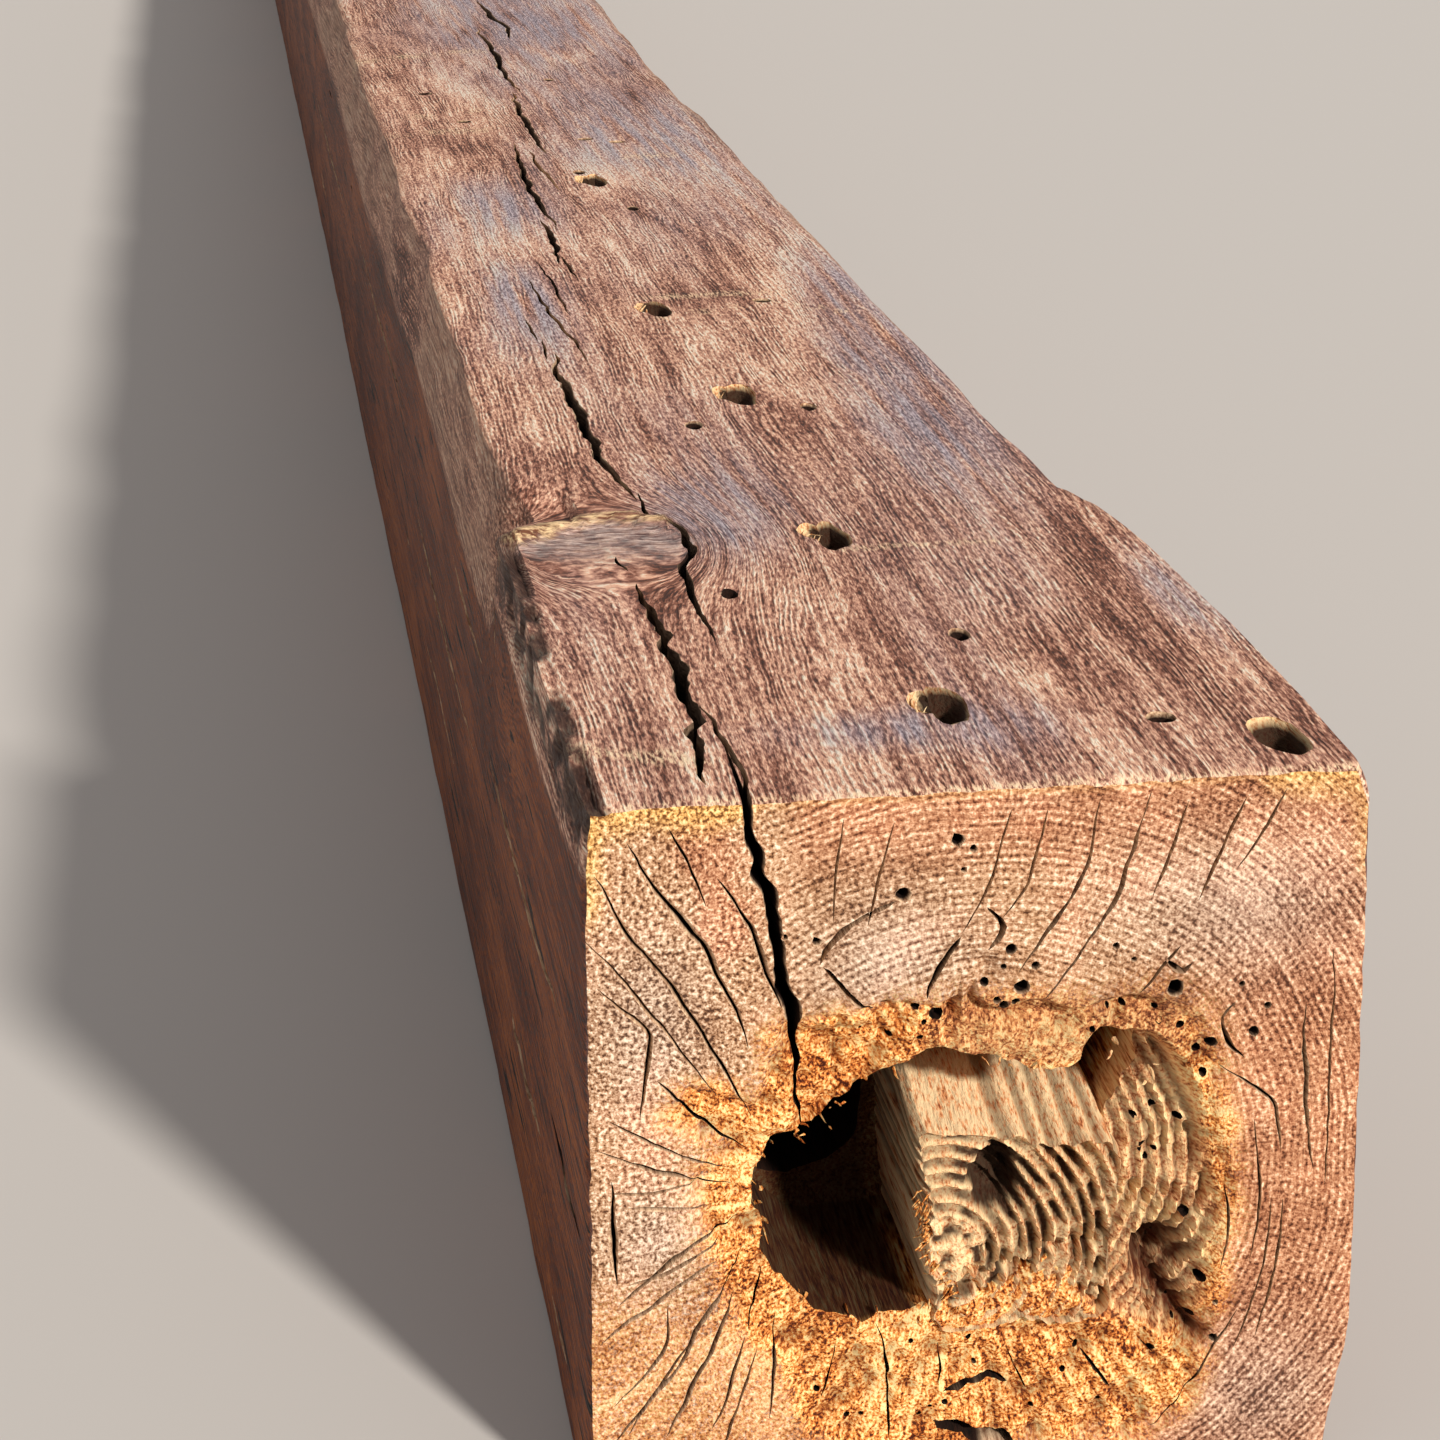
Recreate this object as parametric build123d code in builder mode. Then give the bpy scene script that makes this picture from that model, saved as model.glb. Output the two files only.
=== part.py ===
"""A railway sleeper: one squared baulk of dense hardwood with a decayed heart at its near end.

The timber lies as it would unheld on a level floor. X runs across its width, Y along its length with the
near end at minus Y, and Z up from its underside, with the origin at the centre of the underside.
Every length is in millimetres.
"""
from build123d import *
from math import cos, pi, radians, sin
import os

# The squared timber
width = 250.0
height = 250.0
length = 4800.0
arris = 3.0  # radius that handling has worn on the long edges
end_wear = 2.0  # chamfer worn round both ends

# The heart of the log, seen on the near end
pith_offset = 2.0  # right of the middle
pith_drop = 137.0  # below the top face

# The pocket where the heart has decayed, and the block of sound heartwood left standing in it
pocket_depth = 85.0
block_corner = 4.0
block_set_back = 3.0  # of the block's front behind the end face
ring_pitch = 4.4
ring_groove_width = 2.0
ring_groove_depth = 3.5
ring_first_radius = 14.0
ring_count = 9
heart_hollow = (8.0, -2.0)  # from the pith
heart_hollow_radius = 9.0
heart_hollow_depth = 17.0
side_hollow = (60.0, -25.0)  # from the pith, beside the block
side_hollow_size = (7.0, 9.5)
side_hollow_depth = 32.0

# The pipe where decay runs on along the log behind the pocket
pipe_length = 340.0

# Depths of the splits
main_split_depth = 70.0  # along the timber, at the near end
deep_split_depth = 45.0
shallow_split_depth = 22.0
end_check_depth = 26.0
side_split_depth = 16.0
split_fullness = 0.6  # below 1 a split keeps its width for longer before it runs out

# Holes left by the fastenings in the top face
spike_radius = 6.0
spike_line = 4.0  # right of the middle, where the row of spikes was driven
bolt_radius = 4.7
nail_radius = 2.6
nail_depth = 45.0
borer_depth = 12.0

over = 12.0  # how far cutting shapes reach past a face

# Left wane, where the round of the log shows: distance along, width on the top, drop down the side
left_wane = [
    (0, 1.0, 20),
    (60, 1.5, 28),
    (130, 1.0, 32),
    (210, 2.0, 27),
    (297, 1.5, 24),
    (335, 17, 46),
    (371, 12, 47),
    (470, 9, 47),
    (607, 11, 41),
    (777, 10, 40),
    (869, 13, 45),
    (1016, 9, 43),
    (1116, 12, 44),
    (1246, 12, 50),
    (1414, 9, 49),
    (1630, 10, 46),
    (1987, 12, 38),
]
left_wane_far = [(1900, 9, 44), (1200, 13, 40), (500, 8, 46), (0, 10, 36)]

# Right wane, slight at the near end and wider from about 0.35 m on
right_wane = [
    (0, 4.0, 14),
    (64, 2.0, 12),
    (150, 1.5, 10),
    (248, 4.0, 18),
    (306, 8, 26),
    (340, 15, 36),
    (438, 17, 40),
    (641, 18, 44),
    (804, 18, 42),
    (1053, 19, 46),
    (1475, 22, 48),
    (1952, 14, 40),
]
right_wane_far = [(1900, 16, 44), (1000, 20, 46), (400, 14, 38), (0, 15, 40)]
wane_round = (0.35, 0.45)  # shares of width and drop at the middle point, which makes the wane bulge

# Outline of the decayed pocket on the near end, from the pith
pocket_outline = [
    (-59, 33),
    (-49, 48),
    (-32, 57),
    (-10, 56),
    (12, 50),
    (36, 47),
    (53, 48),
    (57, 36),
    (53, 20),
    (42, 2),
    (30, -26),
    (4, -38),
    (-16, -45),
    (-34, -46),
    (-50, -45),
    (-63, -30),
    (-71, -12),
    (-73, 6),
    (-68, 20),
]

# The standing block's section, from the pith: it joins the timber behind and below
block_outline = [(-19, 15), (50, 6), (44, -48), (-11, -48)]

# The decay pipe's sections: distance along, centre from the pith, half width, half height
pipe_sections = [
    (-over, -46, -6, 26, 36),
    (60, -45, -5, 23, 33),
    (200, -40, -3, 19, 26),
    (pipe_length, -32, 0, 8, 10),
]

# Splits in the top face: mouth width, then the route as (across from the middle, along from the near end)
deep_top_splits = [
    (4.2, [(-78, 232), (-79, 190), (-79, 161), (-77, 105), (-80, 60), (-86, 18)]),
    (2.8, [(-61, 355), (-62, 323), (-55, 308), (-51, 289), (-52, 267), (-58, 245), (-60, 206), (-60, 158)]),
    (4.2, [(-67, 608), (-71, 561), (-70, 477), (-70, 420), (-66, 376), (-63, 343)]),
    (3.2, [(-31, 1213), (-36, 1082), (-36, 1010), (-33, 918)]),
    (3.4, [(-41, 945), (-40, 889), (-43, 820)]),
    (3.2, [(-12, 1429), (-15, 1319), (-14, 1226), (-14, 1167)]),
    (3.4, [(-8, 1784), (-6, 1641), (-8, 1522), (-6, 1428)]),
    (3.0, [(9, 1968), (11, 1851), (18, 1792), (13, 1713)]),
]
shallow_top_splits = [
    (2.6, [(-75, 92), (-71, 35), (-72, 9), (-75, -over)]),
    (1.8, [(-75, 685), (-73, 635)]),
    (1.8, [(-71, 639), (-73, 594)]),
    (2.4, [(-64, 782), (-61, 700), (-57, 650), (-55, 587)]),
    (2.0, [(-55, 829), (-52, 773), (-52, 691)]),
    (2.6, [(-40, 840), (-38, 780)]),
    (2.6, [(-24, 1184), (-23, 1112), (-20, 1035)]),
]
# The same, in the far part, measured back from the far end
far_top_splits = [
    (3.0, [(12, 2780), (17, 2600), (14, 2420)]),
    (2.8, [(8, 2260), (12, 2060), (10, 1840)]),
    (3.0, [(-4, 1690), (0, 1500), (-3, 1290)]),
    (3.2, [(-10, 1080), (-6, 860), (-9, 640)]),
    (3.4, [(-6, 430), (-11, 220), (-8, -over)]),
]

# Checks in the near end, from the pith: mouth width and route
main_split = (5.0, [(-78, 160), (-73, 122), (-69, 98), (-66, 80), (-61, 58), (-58, 20)])
near_checks = [
    (2.2, [(-85, 112), (-76, 97), (-72, 88), (-65, 67)]),
    (2.6, [(-113, 125), (-102, 106), (-90, 89), (-81, 71), (-75, 54)]),
    (2.4, [(-123, 115), (-111, 92), (-97, 72), (-85, 52), (-74, 29)]),
    (1.6, [(-127, 95), (-112, 77), (-98, 57), (-85, 38)]),
    (2.0, [(-123, 77), (-108, 64), (-107, 54), (-110, 32)]),
    (2.8, [(-104, 45), (-90, 29), (-75, 19)]),
    (1.6, [(-120, 32), (-97, 19), (-82, 12)]),
    (2.0, [(-124, 23), (-103, 13), (-80, 6)]),
    (1.4, [(-116, 1), (-87, 0)]),
    (3.2, [(-119, 11), (-118, -10), (-117, -26)]),
    (2.0, [(-78, -5), (-93, -13), (-117, -33)]),
    (1.8, [(-85, -20), (-112, -39), (-123, -47)]),
    (2.2, [(-76, -17), (-88, -39), (-98, -57), (-115, -81)]),
    (1.4, [(-101, -34), (-103, -51), (-119, -70)]),
    (2.2, [(-79, -32), (-88, -54), (-102, -83)]),
    (2.0, [(-71, -25), (-75, -45)]),
    (1.4, [(-76, -48), (-82, -71), (-87, -81)]),
    (1.8, [(-66, -41), (-67, -66), (-68, -79)]),
    (2.6, [(-32, -49), (-28, -66), (-27, -92)]),
    (2.4, [(105, 57), (107, 31), (108, 20), (112, -3)]),
    (1.8, [(78, 37), (89, 29), (97, 22), (100, 5)]),
    (1.4, [(63, 80), (50, 64)]),
    (1.6, [(89, -53), (71, -85), (61, -95)]),
    (1.2, [(35, 127), (26, 97), (10, 76)]),
    (1.2, [(51, 131), (43, 102), (27, 74)]),
    (6.0, [(-9, 88), (-16, 78), (-18, 67)]),
]

# Borer holes in the near end, from the pith: place and radius
borer_holes = [
    (62, 65, 2.6),
    (75, 45, 1.8),
    (65, 51, 1.6),
    (71, 42, 1.6),
    (89, 48, 1.6),
    (76, -20, 1.8),
    (80, -42, 2.0),
    (-27, 103, 1.8),
    (2, -75, 4.0),
    (6, -88, 5.0),
]

# Checks in the far end run out from the heart: angle, inner and outer distance from the pith, mouth width
far_checks = [
    (12, 14, 88, 2.0),
    (64, 10, 74, 1.6),
    (118, 16, 96, 2.6),
    (161, 12, 80, 1.8),
    (207, 20, 92, 2.2),
    (248, 10, 70, 1.4),
    (292, 14, 86, 2.0),
    (338, 18, 78, 1.6),
]

# Splits in the two side faces: mouth width, then the route as (along from the near end, up from the underside)
left_side_splits = [
    (2.6, [(70, 148), (180, 143), (330, 146)]),
    (2.2, [(420, 118), (610, 112), (800, 116)]),
    (2.4, [(900, 152), (1180, 147), (1420, 150)]),
    (2.2, [(1700, 126), (2000, 121), (2260, 125)]),
]
right_side_splits = [
    (2.4, [(90, 96), (300, 101), (520, 97)]),
    (2.2, [(760, 128), (1010, 123), (1290, 127)]),
    (2.6, [(1600, 112), (1950, 106), (2250, 110)]),
]

# Holes of the fastenings in the top face: across from the middle, along from the near end, depth
spike_holes = [
    (spike_line, 78, 52),
    (spike_line, 280, 104),
    (spike_line, 509, 112),
    (-7, 698, 108),
    (spike_line, 1065, 120),
]
bolt_holes = [
    (71, 54, 75),
    (49, 709, 88),
    (17, 1222, 92),
    (36, 1206, 96),
    (-73, 1438, 90),
    (-56, 1308, 86),
    (104, 32, 60),
]
nail_holes = [(32, 481), (-23, 458), (17, 973), (-46, 212), (26, 150), (21, 1487), (-1, 1095)]

near_y = -length / 2
far_y = length / 2
near_end = Plane(origin=(pith_offset, near_y, height - pith_drop), x_dir=(1, 0, 0), z_dir=(0, -1, 0))
far_end = Plane(origin=(-pith_offset, far_y, height - pith_drop), x_dir=(-1, 0, 0), z_dir=(0, 1, 0))
top_face = Plane(origin=(0, near_y, height), x_dir=(1, 0, 0), z_dir=(0, 0, 1))
top_from_far = Plane(origin=(0, far_y, height), x_dir=(-1, 0, 0), z_dir=(0, 0, 1))
left_face = Plane(origin=(-width / 2, near_y, 0), x_dir=(0, 1, 0), z_dir=(-1, 0, 0))
right_face = Plane(origin=(width / 2, near_y, 0), x_dir=(0, 1, 0), z_dir=(1, 0, 0))


def split_outline(mouth, route):
    """Closed outline of a split: it follows the route and runs out to a point at both ends."""
    turns = [Vector(*point) for point in route]
    path = [turns[0]]
    for here, ahead in zip(turns, turns[1:]):
        path += [(here + ahead) / 2, ahead]
    walked = [0.0]
    for here, ahead in zip(path, path[1:]):
        walked.append(walked[-1] + (ahead - here).length)
    one_side, other_side = [], []
    for i in range(1, len(path) - 1):
        heading = (path[i + 1] - path[i - 1]).normalized()
        half = mouth / 2 * sin(pi * walked[i] / walked[-1]) ** split_fullness
        aside = Vector(-heading.Y, heading.X) * half
        one_side.append(path[i] + aside)
        other_side.append(path[i] - aside)
    return [path[0], *one_side, path[-1], *reversed(other_side)]


def draw_splits(splits):
    """Add each split's outline to the sketch that is open."""
    for mouth, route in splits:
        Polygon(*split_outline(mouth, route), align=None)


def measured_from_far(stations):
    """Stations given back from the far end, as distances from the near end."""
    return [(length - back, inset, drop) for back, inset, drop in stations]


def wane_stations(near_stations, far_stations):
    """All stations of a wane, carried past both ends of the timber."""
    stations = near_stations + measured_from_far(far_stations)
    first, last = stations[0], stations[-1]
    return [(-over, *first[1:]), *stations, (length + over, *last[1:])]


def wane_section(side, along, inset, drop):
    """What the round of the log leaves out of a top edge. Side is -1 for the left and 1 for the right."""
    edge = Plane(origin=(side * width / 2, near_y + along, height), x_dir=(1, 0, 0), z_dir=(0, -1, 0))
    with BuildSketch(edge) as section:
        Polygon(
            (side * over, -drop),
            (0, -drop),
            (-side * inset * wane_round[0], -drop * wane_round[1]),
            (-side * inset, 0),
            (-side * inset, over),
            (side * over, over),
            align=None,
        )
    return section.sketch


# The block's section, with corners that decay has rounded
with BuildSketch() as block_section:
    with BuildLine():
        Polyline(*block_outline, close=True)
    make_face()
    fillet(block_section.vertices(), radius=block_corner)

# The open part of the pocket, all round the block
with BuildSketch() as pocket_section:
    with BuildLine():
        Spline(*pocket_outline, periodic=True)
    make_face()
    add(block_section.sketch, mode=Mode.SUBTRACT)

# Grooves where the soft early wood has gone from between the rings, from the widest ring inwards
with BuildSketch() as ring_grooves:
    with Locations(heart_hollow):
        for ring in reversed(range(ring_count)):
            groove_radius = ring_first_radius + ring * ring_pitch
            Circle(groove_radius + ring_groove_width / 2)
            Circle(groove_radius - ring_groove_width / 2, mode=Mode.SUBTRACT)
    add(block_section.sketch, mode=Mode.INTERSECT)

with BuildPart() as sleeper:
    # The sawn baulk with worn edges
    with BuildSketch(Plane.XZ.offset(-near_y)):
        RectangleRounded(width, height, arris, align=(Align.CENTER, Align.MIN))
    extrude(amount=-length)
    ends = sleeper.faces().filter_by(Axis.Y)
    chamfer(ends.edges(), length=end_wear)

    # The wanes along both top edges
    for side, near_part, far_part in ((-1, left_wane, left_wane_far), (1, right_wane, right_wane_far)):
        stations = wane_stations(near_part, far_part)
        loft([wane_section(side, *station) for station in stations], ruled=True, mode=Mode.SUBTRACT)

    # The decayed pocket round the standing block, and the pipe that runs on from it
    with BuildSketch(near_end.offset(over)):
        add(pocket_section.sketch)
    extrude(amount=-over - pocket_depth, mode=Mode.SUBTRACT)
    for along, across, up, half_width, half_height in pipe_sections:
        with BuildSketch(near_end.offset(-along)):
            with Locations((across, up)):
                Ellipse(half_width, half_height)
    loft(mode=Mode.SUBTRACT)

    # The worn front of the block, its ring ridges and the hollow at its heart
    with BuildSketch(near_end):
        add(block_section.sketch)
    extrude(amount=-block_set_back, mode=Mode.SUBTRACT)
    with BuildSketch(near_end.offset(-block_set_back)):
        add(ring_grooves.sketch)
    extrude(amount=-ring_groove_depth, mode=Mode.SUBTRACT)
    with Locations(near_end.offset(-block_set_back)):
        with Locations(heart_hollow):
            Hole(heart_hollow_radius, heart_hollow_depth)
    with BuildSketch(near_end):
        with Locations(side_hollow):
            Ellipse(*side_hollow_size)
    extrude(amount=-side_hollow_depth, mode=Mode.SUBTRACT)

    # Checks and borer holes in the near end, with the main split that opens the pocket to the top face
    with BuildSketch(near_end.offset(over)):
        draw_splits([main_split])
    extrude(amount=-over - main_split_depth, mode=Mode.SUBTRACT)
    with BuildSketch(near_end):
        draw_splits(near_checks)
    extrude(amount=-end_check_depth, mode=Mode.SUBTRACT)
    for across, up, radius in borer_holes:
        with Locations(near_end * Location((across, up))):
            Hole(radius, borer_depth)

    # Checks in the far end
    with BuildSketch(far_end):
        for angle, inner, outer, mouth in far_checks:
            outward = Vector(cos(radians(angle)), sin(radians(angle)))
            draw_splits([(mouth, [tuple(outward * inner)[:2], tuple(outward * outer)[:2]])])
    extrude(amount=-end_check_depth, mode=Mode.SUBTRACT)

    # Splits in the top face
    for face, splits, depth in (
        (top_face, deep_top_splits, deep_split_depth),
        (top_face, shallow_top_splits, shallow_split_depth),
        (top_from_far, far_top_splits, deep_split_depth),
        (left_face, left_side_splits, side_split_depth),
        (right_face, right_side_splits, side_split_depth),
    ):
        with BuildSketch(face):
            draw_splits(splits)
        extrude(amount=-depth, mode=Mode.SUBTRACT)

    # Holes of the fastenings
    for across, along, depth in spike_holes:
        with Locations(top_face * Location((across, along))):
            Hole(spike_radius, depth)
    for across, along, depth in bolt_holes:
        with Locations(top_face * Location((across, along))):
            Hole(bolt_radius, depth)
    for across, along in nail_holes:
        with Locations(top_face * Location((across, along))):
            Hole(nail_radius, nail_depth)

sleeper.part.label = "sleeper"
os.makedirs("parts", exist_ok=True)
export_step(sleeper.part, "parts/sleeper.step")
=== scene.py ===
"""Looks of a reclaimed hardwood railway sleeper, built over its CAD solid.

Lengths in this file are millimetres, in the timber's own frame: x across from the middle, s along from the
near end, z up from the underside. A drop is a height counted from the top, so it is negative in the timber.
Meshes are turned to metres when they are made.
"""

from math import ceil, cos, pi, radians, sin

import bpy
import numpy as np
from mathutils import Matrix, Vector
from mathutils.geometry import delaunay_2d_cdt


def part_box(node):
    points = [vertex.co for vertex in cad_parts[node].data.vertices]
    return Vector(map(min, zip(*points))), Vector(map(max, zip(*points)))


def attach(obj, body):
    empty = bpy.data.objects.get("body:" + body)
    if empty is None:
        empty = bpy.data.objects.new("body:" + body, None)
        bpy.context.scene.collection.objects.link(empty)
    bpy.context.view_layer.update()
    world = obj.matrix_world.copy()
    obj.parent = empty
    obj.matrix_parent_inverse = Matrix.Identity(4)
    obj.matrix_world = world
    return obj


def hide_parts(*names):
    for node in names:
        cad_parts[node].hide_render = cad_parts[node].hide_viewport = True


bl_info = {
    "name": "Reclaimed Railway Sleeper",
    "version": (1, 0, 0),
    "blender": (4, 5, 0),
    "location": "View3D > Sidebar > Sleeper",
    "description": "Builds the weathered timber with its splits, fastening holes and decayed heart",
    "category": "Add Mesh",
}

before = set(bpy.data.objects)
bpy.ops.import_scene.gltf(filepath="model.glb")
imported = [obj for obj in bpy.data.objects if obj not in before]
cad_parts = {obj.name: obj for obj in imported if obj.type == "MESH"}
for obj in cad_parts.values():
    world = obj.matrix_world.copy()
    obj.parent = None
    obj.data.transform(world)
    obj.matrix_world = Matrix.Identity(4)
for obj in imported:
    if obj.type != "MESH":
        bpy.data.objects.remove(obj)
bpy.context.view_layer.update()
LOW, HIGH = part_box("sleeper")
WIDTH, LENGTH, HEIGHT = (HIGH - LOW) * 1000
HALF = WIDTH / 2
# The heart of the log: its x and its drop
PITH_X, PITH_DROP = 2.0, -137.0
# How far a cutting shape stands out of the face that it cuts
OVER = 12.0

# Wanes along the top edges: distance along, width on the top, drop down the side
LEFT_WANE = [
    (0, 1.0, 20), (60, 1.5, 28), (130, 1.0, 32), (210, 2.0, 27), (297, 1.5, 24), (335, 17, 46), (371, 12, 47),
    (470, 9, 47), (607, 11, 41), (777, 10, 40), (869, 13, 45), (1016, 9, 43), (1116, 12, 44), (1246, 12, 50),
    (1414, 9, 49), (1630, 10, 46), (1987, 12, 38), (2900, 9, 44), (3600, 13, 40), (4300, 8, 46), (4800, 10, 36),
]
RIGHT_WANE = [
    (0, 4.0, 14), (64, 2.0, 12), (150, 1.5, 10), (248, 4.0, 18), (306, 8, 26), (340, 15, 36), (438, 17, 40),
    (641, 18, 44), (804, 18, 42), (1053, 19, 46), (1475, 22, 48), (1952, 14, 40), (2900, 16, 44), (3800, 20, 46),
    (4400, 14, 38), (4800, 15, 40),
]
# How far a wane's middle lies in from its corner, as shares of its width and of its drop
WANE_ROUND = (0.35, 0.45)

# Splits of the top face: mouth width, depth, route as (x, s)
TOP_SPLITS = [
    (6.4, 45, [(-77, 230), (-78, 190), (-77, 161), (-77, 127), (-79, 82), (-83, 45), (-85, 16)]),
    (5.6, 45, [(-67, 608), (-71, 561), (-70, 477), (-70, 420), (-66, 376), (-63, 343)]),
    (4.6, 45, [(-41, 945), (-40, 889), (-43, 820)]),
    (4.8, 45, [(-12, 1429), (-15, 1319), (-14, 1226), (-14, 1167)]),
    (5.0, 45, [(9, 1968), (11, 1851), (18, 1792), (13, 1713)]),
    (1.8, 22, [(-75, 685), (-73, 635)]),
    (2.0, 22, [(-55, 829), (-52, 773), (-52, 691)]),
    (3.0, 45, [(-12, 2020), (-17, 2200), (-14, 2380)]),
    (3.0, 45, [(4, 3110), (0, 3300), (3, 3510)]),
    (3.4, 45, [(6, 4370), (11, 4580), (8, 4812)]),
]
CROSSING_SPLITS = [
    (4.0, 45, [(-61, 355), (-62, 323), (-55, 308), (-51, 289), (-52, 267), (-58, 245), (-60, 206), (-60, 158)]),
    (4.6, 45, [(-31, 1213), (-36, 1082), (-36, 1010), (-33, 918)]),
    (5.0, 45, [(-8, 1784), (-6, 1641), (-8, 1522), (-6, 1428)]),
    (2.6, 22, [(-75, 92), (-71, 35), (-72, 9), (-75, -OVER)]),
    (1.8, 22, [(-71, 639), (-73, 594)]),
    (3.0, 14, [(-106, 335), (-114, 332), (-121, 322)]),
    (2.2, 12, [(-79, 246), (-81, 258), (-80, 268)]),
    (2.4, 22, [(-64, 782), (-61, 700), (-57, 650), (-55, 587)]),
    (2.6, 22, [(-40, 840), (-38, 780)]),
    (2.6, 22, [(-24, 1184), (-23, 1112), (-20, 1035)]),
    (2.8, 45, [(-8, 2540), (-12, 2740), (-10, 2960)]),
    (3.2, 45, [(10, 3720), (6, 3940), (9, 4160)]),
]

# Checks of the near end: mouth width, depth, route as (x, drop)
MAIN_SPLIT = (5.0, 70, [(-76, 23), (-71, -15), (-67, -39), (-64, -57), (-59, -79), (-56, -117)])
NEAR_CHECKS = [
    (2.2, 26, [(-83, -25), (-74, -40), (-70, -49), (-63, -70)]),
    (2.6, 26, [(-111, -12), (-100, -31), (-88, -48), (-79, -66), (-73, -83)]),
    (2.4, 26, [(-121, -22), (-109, -45), (-95, -65), (-83, -85), (-72, -108)]),
    (1.6, 26, [(-125, -42), (-110, -60), (-96, -80), (-83, -99)]),
    (2.0, 26, [(-121, -60), (-106, -73), (-105, -83), (-108, -105)]),
    (2.8, 26, [(-102, -92), (-88, -108), (-73, -118)]),
    (1.6, 26, [(-118, -105), (-95, -118), (-80, -125)]),
    (2.0, 26, [(-122, -114), (-101, -124), (-78, -131)]),
    (1.4, 26, [(-114, -136), (-85, -137)]),
    (3.2, 26, [(-117, -126), (-116, -147), (-115, -163)]),
    (2.0, 26, [(-76, -142), (-91, -150), (-115, -170)]),
    (1.8, 26, [(-83, -157), (-110, -176), (-121, -184)]),
    (2.2, 26, [(-74, -154), (-86, -176), (-96, -194), (-113, -218)]),
    (1.4, 26, [(-99, -171), (-101, -188), (-117, -207)]),
    (2.2, 26, [(-77, -169), (-86, -191), (-100, -220)]),
    (2.0, 26, [(-69, -162), (-73, -182)]),
    (1.4, 26, [(-74, -185), (-80, -208), (-85, -218)]),
    (1.8, 26, [(-64, -178), (-65, -203), (-66, -216)]),
    (2.6, 26, [(-30, -186), (-26, -203), (-25, -229)]),
    (2.4, 26, [(107, -80), (109, -106), (110, -117), (114, -140)]),
    (1.8, 26, [(80, -100), (91, -108), (99, -115), (102, -132)]),
    (1.6, 26, [(91, -190), (73, -222), (63, -232)]),
    (6.0, 22, [(-7, -49), (-14, -59), (-16, -70)]),
]
# How a check narrows with its depth: a bevelled mouth and a thin dark line below
BEVELLED = ((0.045, 0.42), (0.2, 0.24))
# How a split of the top narrows
LIPPED = ((0.02, 0.74), (0.3, 0.52))
# Hairline checks, too fine for a solid
HAIR_CHECKS = [
    (0.9, 6, [(9, -8), (5, -23), (2, -33), (-6, -48)]),
    (0.9, 6, [(20, -8), (16, -27), (13, -35), (7, -44)]),
    (1.3, 10, [(37, -6), (34, -25), (28, -40), (12, -63)]),
    (1.3, 10, [(53, -4), (50, -16), (45, -35), (39, -47), (29, -63), (21, -74)]),
    (1.0, 7, [(65, -8), (61, -22), (55, -40)]),
    (0.9, 6, [(97, -6), (90, -20), (82, -32)]),
    (1.0, 7, [(65, -57), (52, -73)]),
    (1.0, 7, [(84, -8), (77, -24), (70, -42)]),
    (0.8, 6, [(-28, -10), (-33, -28), (-36, -44)]),
    (0.8, 6, [(-44, -8), (-46, -26), (-47, -42)]),
    (0.9, 6, [(-98, -8), (-91, -22), (-87, -34)]),
    (0.9, 6, [(116, -62), (117, -100), (118, -146)]),
    (0.8, 6, [(100, -150), (98, -178), (90, -204)]),
    (2.0, 9, [(-27, -36), (-40, -43), (-48, -50), (-51, -56)]),
    (2.2, 9, [(-50, -57), (-44, -64), (-37, -71), (-31, -74)]),
    (1.8, 9, [(60, -62), (66, -67), (70, -64)]),
    (2.0, 9, [(84, -78), (80, -84), (83, -92), (88, -98)]),
    (2.6, 9, [(2, -40), (7, -47), (3, -55)]),
    (4.6, 12, [(-8, -212), (4, -208), (15, -213)]),
    (8.5, 16, [(-10, -222), (4, -228), (20, -236)]),
    (1.6, 6, [(28, -188), (40, -204), (54, -223)]), (1.5, 6, [(46, -186), (58, -199), (69, -211)]),
    (1.4, 6, [(12, -194), (18, -208), (24, -220)]), (1.6, 6, [(-10, -190), (-8, -202), (-9, -212)]),
    (1.4, 5, [(-44, -188), (-46, -204), (-50, -218)]), (1.3, 5, [(60, -176), (68, -184), (76, -190)]),
    (1.2, 5, [(-88, -128), (-104, -131), (-118, -130)]), (1.2, 5, [(-80, -148), (-96, -158), (-112, -164)]),
    (1.1, 5, [(-70, -190), (-78, -214), (-84, -232)]), (1.1, 5, [(-92, -186), (-104, -204), (-118, -222)]),
    (1.0, 5, [(84, -140), (86, -158), (84, -174)]), (1.0, 5, [(93, -120), (96, -150), (94, -172)]),
    (1.0, 5, [(104, -150), (103, -175), (97, -200)]),
]
# Borer holes and pits of the near end: x, drop, radius, depth
END_PITS = [
    (64, -72, 2.6, 14), (77, -92, 1.8, 12), (67, -86, 1.6, 12), (73, -95, 1.6, 12), (91, -89, 1.6, 12),
    (74, -157, 2.2, 14), (79, -179, 1.8, 12), (76, -194, 2.2, 12), (-25, -34, 2.0, 12), (-8, -17, 1.9, 7),
    (-3, -20, 1.1, 5), (-6, -27, 0.9, 5), (2, -66, 1.5, 6), (8, -61, 1.0, 5), (6, -72, 1.2, 6),
    (-62, -46, 1.0, 5), (-52, -48, 1.2, 6), (44, -56, 1.1, 6), (50, -61, 0.9, 5), (95, -80, 1.2, 6),
    (86, -72, 1.0, 5), (14, -68, 2.2, 8), (10, -55, 1.7, 7), (-13, -76, 2.4, 8), (18, -61, 1.3, 6),
]
# Small pits scattered where the wood is torn: how many, and the box they lie in
SMALL_PITS = [(16, (-50, -236, 70, -188)), (12, (56, -200, 84, -96)), (14, (-44, -86, 66, -73))]
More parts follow.
